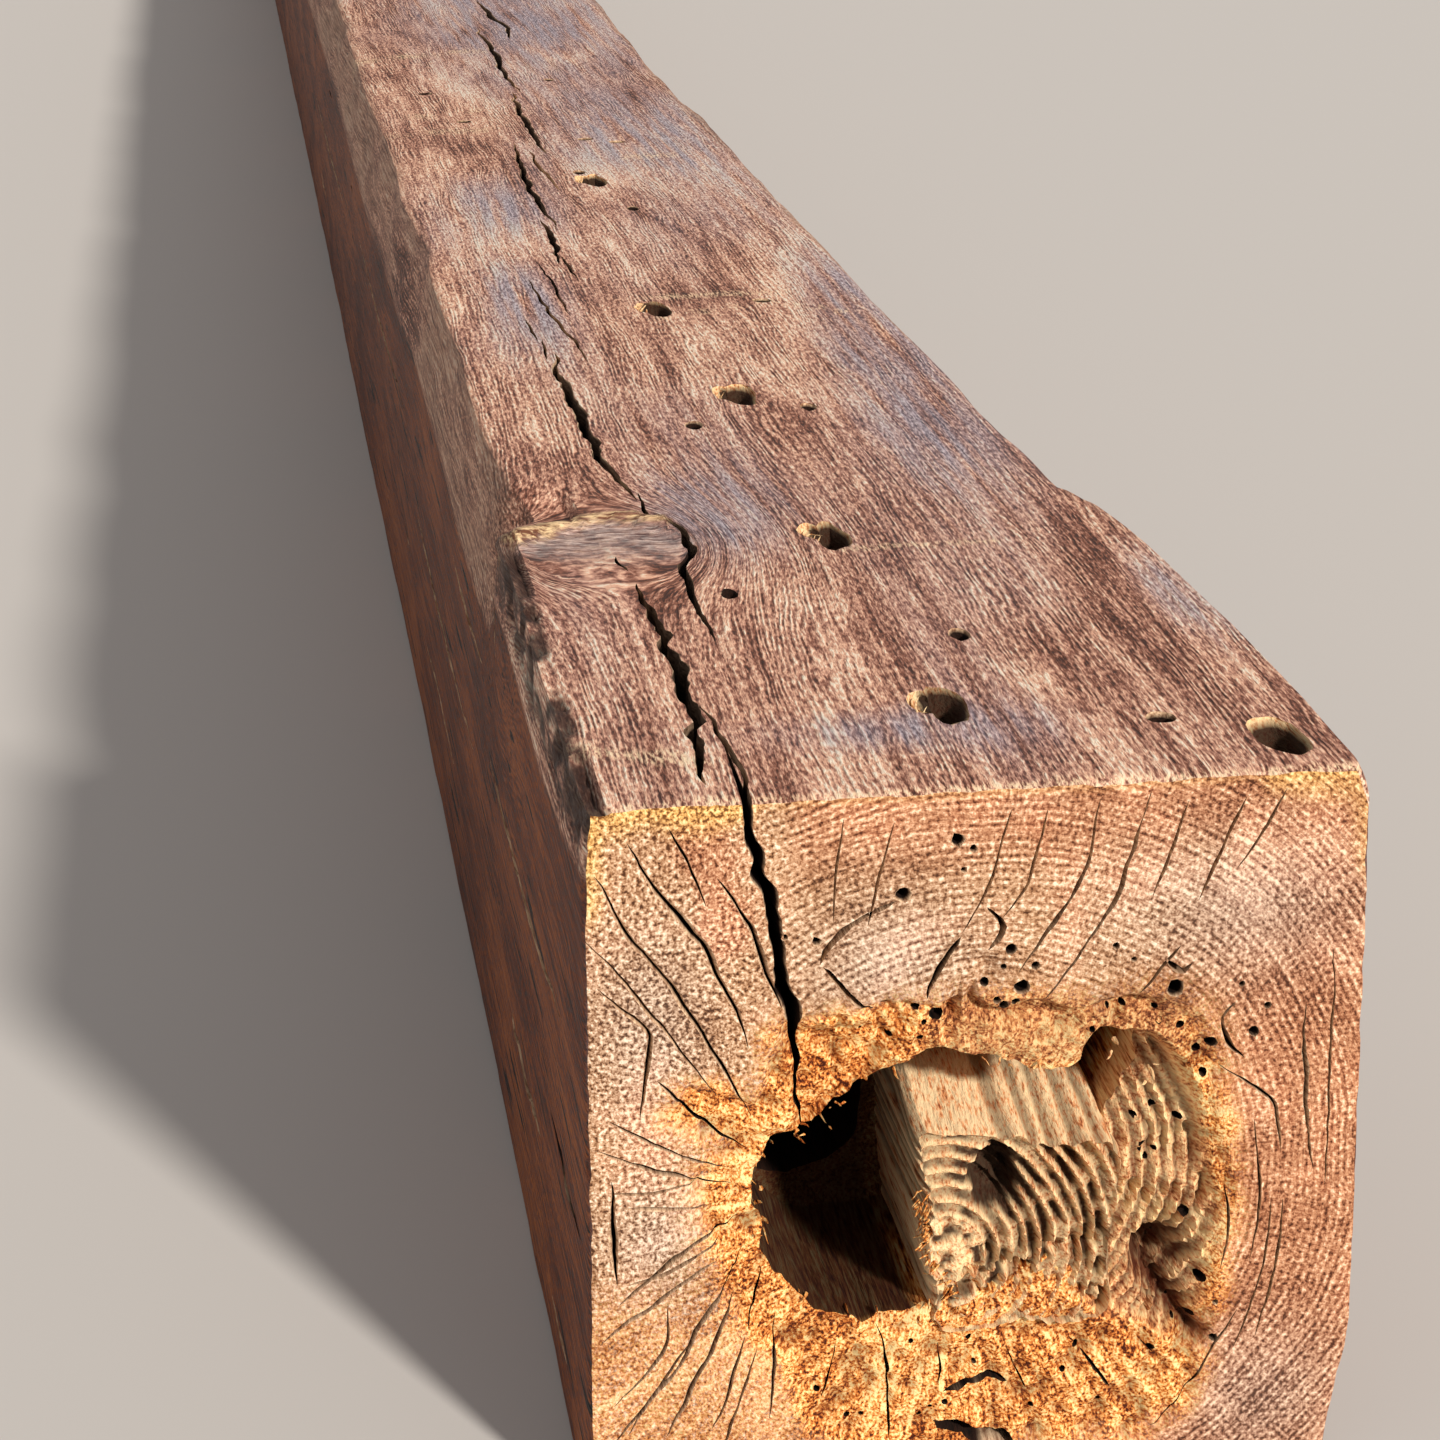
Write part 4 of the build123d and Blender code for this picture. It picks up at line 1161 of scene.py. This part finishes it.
def add_node(tree, kind, inputs, stops=(), **settings):
    """Add a shader node with its settings. An input is a value, an sRGB hex colour or a socket to link from."""
    made = tree.nodes.new("ShaderNode" + kind)
    for name, value in settings.items():
        setattr(made, name, value)
    for key, value in inputs.items():
        if isinstance(value, bpy.types.NodeSocket):
            tree.links.new(value, made.inputs[key])
        else:
            made.inputs[key].default_value = linear(value) if isinstance(value, str) else value
    for i, (place, colour) in enumerate(stops):
        stop = made.color_ramp.elements[i] if i < 2 else made.color_ramp.elements.new(place)
        stop.position = place
        stop.color = linear(colour) if isinstance(colour, str) else colour
    return made


def new_material(name):
    """An empty material and its node tree."""
    material = bpy.data.materials.new(name)
    material.use_nodes = True
    material.node_tree.nodes.clear()
    return material, material.node_tree


def add_surface(tree, wood, height, deep, strength, roughness, specular):
    """End a material with its shader. deep is the real depth of its finest relief, in mm."""
    bump = add_node(tree, "Bump", {"Height": height, "Distance": deep / 1000, "Strength": strength})
    shader = add_node(tree, "BsdfPrincipled", {"Base Color": wood, "Roughness": roughness,
                                               "Specular IOR Level": specular, "Normal": bump.outputs[0]})
    add_node(tree, "OutputMaterial", {"Surface": shader.outputs[0]})


def weighted(tree, *terms, base=0.0):
    """Base plus each value times its weight. A weight may be a socket too."""
    for value, weight in terms:
        base = add_node(tree, "Math", {0: value, 1: weight, 2: base}, operation="MULTIPLY_ADD").outputs[0]
    return base


def layered(tree, wood, *layers):
    """Lay colours over the wood one by one, each with its share at a point and its strength."""
    for colour, share, strength in layers:
        shown = add_node(tree, "Math", {0: share, 1: strength}, operation="MULTIPLY").outputs[0]
        wood = add_node(tree, "Mix", {0: shown, 6: wood, 7: colour}, data_type="RGBA").outputs[2]
    return wood


def grain_noise(tree, source, size, detail=2.0, distortion=0.0):
    """Noise drawn out along the log. size is its real size in mm across, along and up."""
    scaled = add_node(tree, "VectorMath", {0: source, 1: tuple(1000 / v for v in size)}, operation="MULTIPLY")
    return add_node(tree, "TexNoise", {"Vector": scaled.outputs[0], "Scale": 1.0, "Detail": detail,
                                       "Roughness": 0.6, "Distortion": distortion}).outputs["Fac"]


def ring_lines(tree, log, pitch, wander):
    """-1 to 1 across each growth ring, from the distance to the pith. pitch and wander are in mm."""
    flat = add_node(tree, "VectorMath", {0: log, 1: (1.0, 0.0, 1.0)}, operation="MULTIPLY").outputs[0]
    away = add_node(tree, "VectorMath", {0: flat}, operation="LENGTH").outputs["Value"]
    phase = weighted(tree, (away, 2 * pi * 1000 / pitch),
                     (grain_noise(tree, log, (30, 300, 30), 3.0), 2 * pi * wander / pitch))
    return add_node(tree, "Math", {0: phase}, operation="SINE").outputs[0]


def round_the_pith(tree, log, turn, out):
    """Noise laid in rings: turn is how many waves it has in a radian, out is its size from the pith in mm."""
    flat = add_node(tree, "VectorMath", {0: log, 1: (1.0, 0.0, 1.0)}, operation="MULTIPLY").outputs[0]
    away = add_node(tree, "VectorMath", {0: flat}, operation="LENGTH").outputs["Value"]
    heading = add_node(tree, "VectorMath", {0: flat}, operation="NORMALIZE").outputs[0]
    wide = add_node(tree, "VectorMath", {0: heading, 1: (float(turn),) * 3}, operation="MULTIPLY").outputs[0]
    reach = add_node(tree, "CombineXYZ", {"Y": weighted(tree, (away, 1000 / out))}).outputs[0]
    place = add_node(tree, "VectorMath", {0: wide, 1: reach}, operation="ADD").outputs[0]
    return add_node(tree, "TexNoise", {"Vector": place, "Scale": 1.0, "Detail": 3.0,
                                       "Roughness": 0.6}).outputs["Fac"]


def sawn_weathered_hardwood(colours):
    """Sawn long grain, worn and silvered by weather: reddish brown fibres stand in fine ridges, with dark
    pores between them and a blue-grey film in the worn places."""
    material, tree = new_material("sawn_weathered_hardwood")
    log, knot_way = [add_node(tree, "Attribute", {}, attribute_name=name).outputs["Vector"]
                     for name in ("log", "knot_way")]
    side, greyed, waney, knot, lip, rubbed, rotten = [
        add_node(tree, "Attribute", {}, attribute_name=name).outputs["Fac"]
        for name in ("side", "greyed", "waney", "knot", "lip", "rubbed", "rotten")]
    stroke = grain_noise(tree, log, (1.0, 5.2, 1.0), 3.0)
    fibre = grain_noise(tree, log, (1.7, 60, 1.7), 3.0)
    strand = grain_noise(tree, log, (7, 170, 7), 3.0)
    stain = grain_noise(tree, log, (60, 260, 60), 4.0, 0.4)
    swirl = grain_noise(tree, knot_way, (12, 1.9, 1.9), 4.0, 1.2)
    crumbs = grain_noise(tree, log, (2.4, 3.4, 2.4), 3.0)
    dashes = grain_noise(tree, log, (4.6, 120, 4.0), 1.0)
    gaps = grain_noise(tree, log, (22, 130, 22), 2.0)
    # Ridges of harder wood about 2.4 mm apart, broken up along their length
    turned = add_node(tree, "VectorMath", {0: log, 1: (1000 / 2.4, 0.0, 1000 / 3.1)}, operation="DOT_PRODUCT")
    wander = grain_noise(tree, log, (16, 120, 16), 2.0)
    phase = weighted(tree, (turned.outputs["Value"], 2 * pi), (wander, 14 * pi))
    wave = add_node(tree, "Math", {0: phase}, operation="SINE").outputs[0]
    # Each number rises from 0 to its share as a noise goes from low to high
    ridged, filmed, film_tone, wane_worn, wane_tone, crumb_tone, worn_marks, slit, rough = [
        add_node(tree, "MapRange", {"Value": noise, "From Min": low, "From Max": high, "To Min": least,
                                    "To Max": share}).outputs["Result"]
        for noise, low, high, least, share in (
            (gaps, 0.3, 0.62, 0.0, 1.0), (strand, 0.3, 0.6, 0.0, greyed), (stroke, 0.38, 0.64, 0.0, 1.0),
            (stain, 0.3, 0.6, 0.0, waney), (fibre, 0.3, 0.7, 0.0, 1.0), (crumbs, 0.42, 0.6, 0.0, 1.0),
            (stroke, 0.46, 0.58, 0.0, rubbed), (strand, 0.44, 0.52, 0.0, side), (stroke, 0.3, 0.7, 0.5, 0.85))]
    ridges = weighted(tree, (wave, ridged))
    # The ridges lighten the colour a little as well as raising the bump: a painted highlight on their crests
    tone = weighted(tree, (stroke, 0.5), (fibre, 0.3), (strand, 0.2), (ridges, 0.05), (stain, 0.36))
    top_wood = add_node(tree, "ValToRGB", {0: tone}, stops=[
        (0.55, "#48281C"), (0.62, "#8C5844"), (0.675, colours.top_wood), (0.73, "#F2BE9E"), (0.80, "#FFF0D8"),
    ]).outputs[0]
    side_wood = add_node(tree, "ValToRGB", {0: tone}, stops=[
        (0.56, "#2C1006"), (0.67, colours.side_wood), (0.79, "#A65E2E")]).outputs[0]
    knot_wood = add_node(tree, "ValToRGB", {0: swirl}, stops=[
        (0.36, "#43373C"), (0.49, "#93827F"), (0.62, "#DCCCC4")]).outputs[0]
    film, wane_wood, lip_wood = [
        add_node(tree, "Mix", {0: share, 6: dark, 7: light}, data_type="RGBA").outputs[2]
        for share, dark, light in ((film_tone, "#6C6470", colours.film), (wane_tone, "#5A3A2A", "#C4987C"),
                                   (crumb_tone, "#6A3818", "#FFDCA8"))]
    # Drying slits of the side faces, 2 mm wide and up to 90 mm long, in patches, painted near black as the
    # shade inside them
    dashed = add_node(tree, "MapRange", {"Value": dashes, "From Min": 0.63, "From Max": 0.65, "To Max": slit})
    wood = layered(
        tree, top_wood, (side_wood, side, 1.0), (film, filmed, 0.85), (wane_wood, wane_worn, 0.85),
        (knot_wood, knot, 0.75), (lip_wood, lip, 0.9), ("#FFE2B8", worn_marks, 0.7),
        ("#120805", dashed.outputs["Result"], 1.0), ("#2A140A", rotten, 1.0))
    height = weighted(tree, (stroke, 0.7), (fibre, 0.6), (ridges, 0.16), (strand, 0.5))
    add_surface(tree, wood, height, 1.6, 0.85, rough, 0.35)
    return material


def fresh_colour(tree, log, colours, rays=0.5, stain=0.5):
    """Colour of newly broken heartwood: bright orange fibres over dark red-brown, paler where the bleached mark
    lies, partly the wood's own paler colour and partly painted light on the block and in the ridged recess.
    """
    shred = grain_noise(tree, log, (1.0, 13, 1.0), 3.0)
    clump = grain_noise(tree, log, (3.6, 40, 3.6), 3.0)
    tone = weighted(tree, (shred, 0.56), (clump, 0.18), (rays, 0.26), (stain, 0.22), base=-0.11)
    fresh = add_node(tree, "ValToRGB", {0: tone}, stops=[
        (0.41, "#421604"), (0.455, "#AE5A20"), (0.51, colours.broken_wood), (0.58, "#FFE2A0")]).outputs[0]
    # dry is the paler heartwood colour and dried its share, from the bleached mark: partly the wood's own paler
    # colour, partly painted light
    dry = add_node(tree, "ValToRGB", {0: tone}, stops=[
        (0.36, "#86381A"), (0.425, colours.dry_wood), (0.505, "#FFE2B2")]).outputs[0]
    dried = add_node(tree, "Attribute", {}, attribute_name="bleached").outputs["Fac"]
    return layered(tree, fresh, (dry, dried, 1.0))


def weathered_end_grain(colours):
    """Sawn end grain after years outside: cut fibre ends make a dense speckle, pale and grey on the left,
    redder with plain rings on the right, and orange where the face has broken away."""
    material, tree = new_material("weathered_end_grain")
    log = add_node(tree, "Attribute", {}, attribute_name="log").outputs["Vector"]
    ringed, red_side, greyed, gold, fresh, groove = [
        add_node(tree, "Attribute", {}, attribute_name=name).outputs["Fac"]
        for name in ("ringed", "red_side", "greyed", "gold", "fresh", "groove")]
    speckle = grain_noise(tree, log, (1.5, 30, 1.5), 2.0)
    stain = grain_noise(tree, log, (40, 60, 40), 4.0)
    short, rings, rays, spokes = [round_the_pith(tree, log, turn, out)
                                  for turn, out in ((42, 0.95), (3, 1.7), (75, 45), (34, 30))]
    # The speckle is weaker where the rings show
    plain = add_node(tree, "MapRange", {"Value": ringed, "To Min": 0.74, "To Max": 0.52}).outputs["Result"]
    marks = weighted(tree, (ring_lines(tree, log, 2.6, 2.4), 0.029), (rings, 0.22), base=-0.11)
    tone = weighted(tree, (short, 0.12), (rays, 0.12), (stain, 0.3), (speckle, plain), (plain, -0.5),
                    (marks, ringed), base=0.23)
    pale_wood, red_wood = [
        add_node(tree, "ValToRGB", {0: tone}, stops=zip((0.38, 0.455, 0.54, 0.63), shades)).outputs[0]
        for shades in (("#4C2A14", "#A0724E", colours.end_wood, "#FFEED4"),
                       ("#4A2210", "#985C3E", colours.red_end_wood, "#FFDCB8"))]
    gold_wood = add_node(tree, "ValToRGB", {0: tone}, stops=[
        (0.40, "#70441C"), (0.49, colours.gold_edge), (0.60, "#FFE6A0")]).outputs[0]
    stained, filmed = [
        add_node(tree, "MapRange", {"Value": noise, "From Min": low, "From Max": high}).outputs["Result"]
        for noise, low, high in ((stain, 0.5, 0.68), (tone, 0.42, 0.58))]
    film = add_node(tree, "Mix", {0: filmed, 6: "#55433A", 7: "#DCCABA"}, data_type="RGBA").outputs[2]
    reddened = add_node(tree, "Math", {0: red_side, 1: 0.8, 2: stained}, operation="MULTIPLY_ADD",
                        use_clamp=True)
    # The groove mark lays painted shade over the grooves and hollows of the near end
    wood = layered(
        tree, pale_wood, (red_wood, reddened.outputs[0], 1.0), (film, greyed, 0.5), (gold_wood, gold, 1.0),
        (fresh_colour(tree, log, colours, spokes, stain), fresh, 1.0), ("#451806", groove, 1.0))
    height = weighted(tree, (short, 0.6), (speckle, 0.5), (rays, 0.35), (weighted(tree, (rings, ringed)), 0.6))
    add_surface(tree, wood, height, 1.3, 0.8, 0.86, 0.25)
    return material


def broken_heartwood(colours):
    """Heartwood laid open by decay: orange-brown fibres run along the log, paler in places, partly as painted
    light, with painted shade darkening the pocket, the torn holes and the grooves.
    """
    material, tree = new_material("broken_heartwood")
    log = add_node(tree, "Attribute", {}, attribute_name="log").outputs["Vector"]
    shade = add_node(tree, "Attribute", {}, attribute_name="shade").outputs["Fac"]
    # The shade mark lays painted shade over the wood
    wood = layered(tree, fresh_colour(tree, log, colours), ("#260C04", shade, 1.0))
    add_surface(tree, wood, grain_noise(tree, log, (1.4, 26, 1.4), 4.0), 2.0, 0.85, 0.88, 0.2)
    return material


def split_wall_hardwood(colours):
    """Inner wall of a drying split: dry, with torn fibres along it and a paler mouth, and painted shade below
    the mouth that darkens it to dark red-brown and near black.
    """
    material, tree = new_material("split_wall_hardwood")
    log = add_node(tree, "Attribute", {}, attribute_name="log").outputs["Vector"]
    below = add_node(tree, "Attribute", {}, attribute_name="below").outputs["Fac"]
    fibre = grain_noise(tree, log, (1.6, 28, 1.6), 4.0)
    mouth = add_node(tree, "ValToRGB", {0: fibre}, stops=[(0.35, "#94684C"), (0.65, "#FFDCB4")]).outputs[0]
    # Painted shade: the wall turns dark red-brown to near black below the mouth
    deep = add_node(tree, "ValToRGB", {0: fibre}, stops=[
        (0.35, "#0C0503"), (0.7, colours.split_wood)]).outputs[0]
    add_surface(tree, layered(tree, mouth, (deep, below, 1.0)), fibre, 1.5, 0.8, 0.9, 0.2)
    return material


# Operators


def material_for(maker, context):
    """The material that a function makes, made once."""
    return bpy.data.materials.get(maker.__name__) or maker(context.scene.sleeper_colours)


def pocket_depth_of(context):
    """The pocket's depth in mm."""
    return round(context.scene.sleeper_shape.pocket_depth * 1000, 2)


def finish_piece(piece, sharp_over):
    """Smooth shading with real corners kept, and the piece's place in the frame."""
    piece.data.shade_smooth()
    piece.data.set_sharp_from_angle(angle=radians(sharp_over))
    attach(piece, "root")
    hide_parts("sleeper")


class SLEEPER_OT_timber(bpy.types.Operator):
    """Build the timber with its wanes, worn ends, splits, holes and decayed pocket"""

    bl_idname = "sleeper.timber"
    bl_label = "Timber"

    def execute(self, context):
        shape = context.scene.sleeper_shape
        face, end, heart, wall = [material_for(maker, context) for maker in (
            sawn_weathered_hardwood, weathered_end_grain, broken_heartwood, split_wall_hardwood)]
        points, faces, indices = timber_skin(shape.relief)
        timber = make_object("timber", points, faces, [face, end], indices)
        rng = np.random.default_rng(17)
        slits = side_slits(rng, shape.side_slits)
        for shapes, material in (
                ([pocket_shape(pocket_depth_of(context))], heart), (first_splits(), wall),
                (crossing_splits(slits), wall), (clean_holes(rng), wall), (torn_mouths(), heart),
                (torn_holes(), heart)):
            cut(timber, shapes, material)
        dress(timber, hollow_shade(points_of(timber)))
        finish_piece(timber, 38)
        return {"FINISHED"}


class SLEEPER_OT_standing_heartwood(bpy.types.Operator):
    """Build the block of sound heartwood that stands in the decayed pocket"""

    bl_idname = "sleeper.standing_heartwood"
    bl_label = "Standing heartwood"

    def execute(self, context):
        rows, line = block_sides(pocket_depth_of(context))
        count = len(line)
        rim = rows[0][:, [0, 2]] - (0, HEIGHT)
        inner, deep, front_shade = block_front(rim)
        start, last = len(rows) * count, (len(rows) - 1) * count
        back = start + len(inner)
        faces = [(here + k, here + (k + 1) % count, here + count + (k + 1) % count, here + count + k)
                 for here in range(0, last, count) for k in range(count)]
        faces += filled_face(rim, inner, np.arange(count), start)
        faces += [(last + k, last + (k + 1) % count, back) for k in range(count)]
        points = np.vstack([*rows, in_near_end(*inner.T, deep), rows[-1].mean(0)[None]])
        block = make_object("standing_heartwood", points, faces, [material_for(broken_heartwood, context)])
        # Painted shade in the ring grooves along the sides and over the front's grooves and hollow
        dress(block, np.concatenate([0.6 * np.tile(line, len(rows)), front_shade, [0]]))
        finish_piece(block, 60)
        return {"FINISHED"}


class SLEEPER_OT_torn_fibres(bpy.types.Operator):
    """Build the splinters that stand round the torn holes, the block and the pocket's edge"""

    bl_idname = "sleeper.torn_fibres"
    bl_label = "Torn fibres"

    def execute(self, context):
        shapes = fibre_shapes(np.random.default_rng(21), context.scene.sleeper_shape.splinters)
        fibres = make_object("torn_fibres", *gathered(shapes), [material_for(broken_heartwood, context)])
        dress(fibres, np.zeros(len(fibres.data.vertices)))
        finish_piece(fibres, 60)
        return {"FINISHED"}


class SLEEPER_OT_stage(bpy.types.Operator):
    """Build the plain floor, the soft light and the camera"""

    bl_idname = "sleeper.stage"
    bl_label = "Stage"

    def execute(self, context):
        scene, settings = context.scene, context.scene.sleeper_stage
        mesh = bpy.data.meshes.new("floor")
        mesh.from_pydata([(-200, -200, 0), (200, -200, 0), (200, 200, 0), (-200, 200, 0)], [], [(0, 1, 2, 3)])
        material, tree = new_material("pale_matt_floor")
        shader = add_node(tree, "BsdfPrincipled", {"Base Color": scene.sleeper_colours.floor,
                                                   "Roughness": 0.85})
        add_node(tree, "OutputMaterial", {"Surface": shader.outputs[0]})
        mesh.materials.append(material)
        floor = bpy.data.objects.new("floor", mesh)
        floor.location.z = -0.0005
        key = bpy.data.objects.new("key", bpy.data.lights.new("key", "SUN"))
        key.data.energy = settings.key_energy
        key.data.angle = settings.key_angle
        key.data.color = (1.0, 0.93, 0.85)
        key.rotation_euler = Vector((0.38, -0.80, 0.44)).to_track_quat("Z", "Y").to_euler()
        camera = bpy.data.objects.new("camera", bpy.data.cameras.new("camera"))
        camera.data.sensor_width = 36
        camera.data.lens = 81.25
        camera.location = (-0.2233, -3.3098, 0.6017)
        camera.rotation_euler = (radians(70.545), 0, radians(-8.807))
        for thing in (floor, key, camera):
            scene.collection.objects.link(thing)
        scene.camera = camera
        world = bpy.data.worlds.new("pale_studio")
        world.use_nodes = True
        light = world.node_tree.nodes["Background"]
        light.inputs[0].default_value = (0.97, 0.93, 0.92, 1)
        light.inputs[1].default_value = settings.fill
        scene.world = world
        # Colours show as they are, so a hex value is what the eye sees in plain light
        scene.view_settings.view_transform = "Standard"
        return {"FINISHED"}


class SLEEPER_PT_panel(bpy.types.Panel):
    bl_idname = "SLEEPER_PT_panel"
    bl_label = "Railway sleeper"
    bl_space_type = "VIEW_3D"
    bl_region_type = "UI"
    bl_category = "Sleeper"

    def draw(self, context):
        scene = context.scene
        for settings, kind in ((scene.sleeper_shape, SleeperShape), (scene.sleeper_colours, SleeperColours),
                               (scene.sleeper_stage, StageSettings)):
            for name in kind.__annotations__:
                self.layout.prop(settings, name)
        for name in ("timber", "standing_heartwood", "torn_fibres", "stage"):
            self.layout.operator("sleeper." + name)


CLASSES = (
    SleeperShape, SleeperColours, StageSettings, SLEEPER_OT_timber, SLEEPER_OT_standing_heartwood,
    SLEEPER_OT_torn_fibres, SLEEPER_OT_stage, SLEEPER_PT_panel,
)


def register():
    for kind in CLASSES:
        bpy.utils.register_class(kind)
    bpy.types.Scene.sleeper_shape = bpy.props.PointerProperty(type=SleeperShape)
    bpy.types.Scene.sleeper_colours = bpy.props.PointerProperty(type=SleeperColours)
    bpy.types.Scene.sleeper_stage = bpy.props.PointerProperty(type=StageSettings)


def unregister():
    del bpy.types.Scene.sleeper_stage
    del bpy.types.Scene.sleeper_colours
    del bpy.types.Scene.sleeper_shape
    for kind in reversed(CLASSES):
        bpy.utils.unregister_class(kind)


def main():
    register()
    bpy.ops.sleeper.timber()
    bpy.ops.sleeper.standing_heartwood()
    bpy.ops.sleeper.torn_fibres()
    bpy.ops.sleeper.stage()


if __name__ == "__main__":
    main()
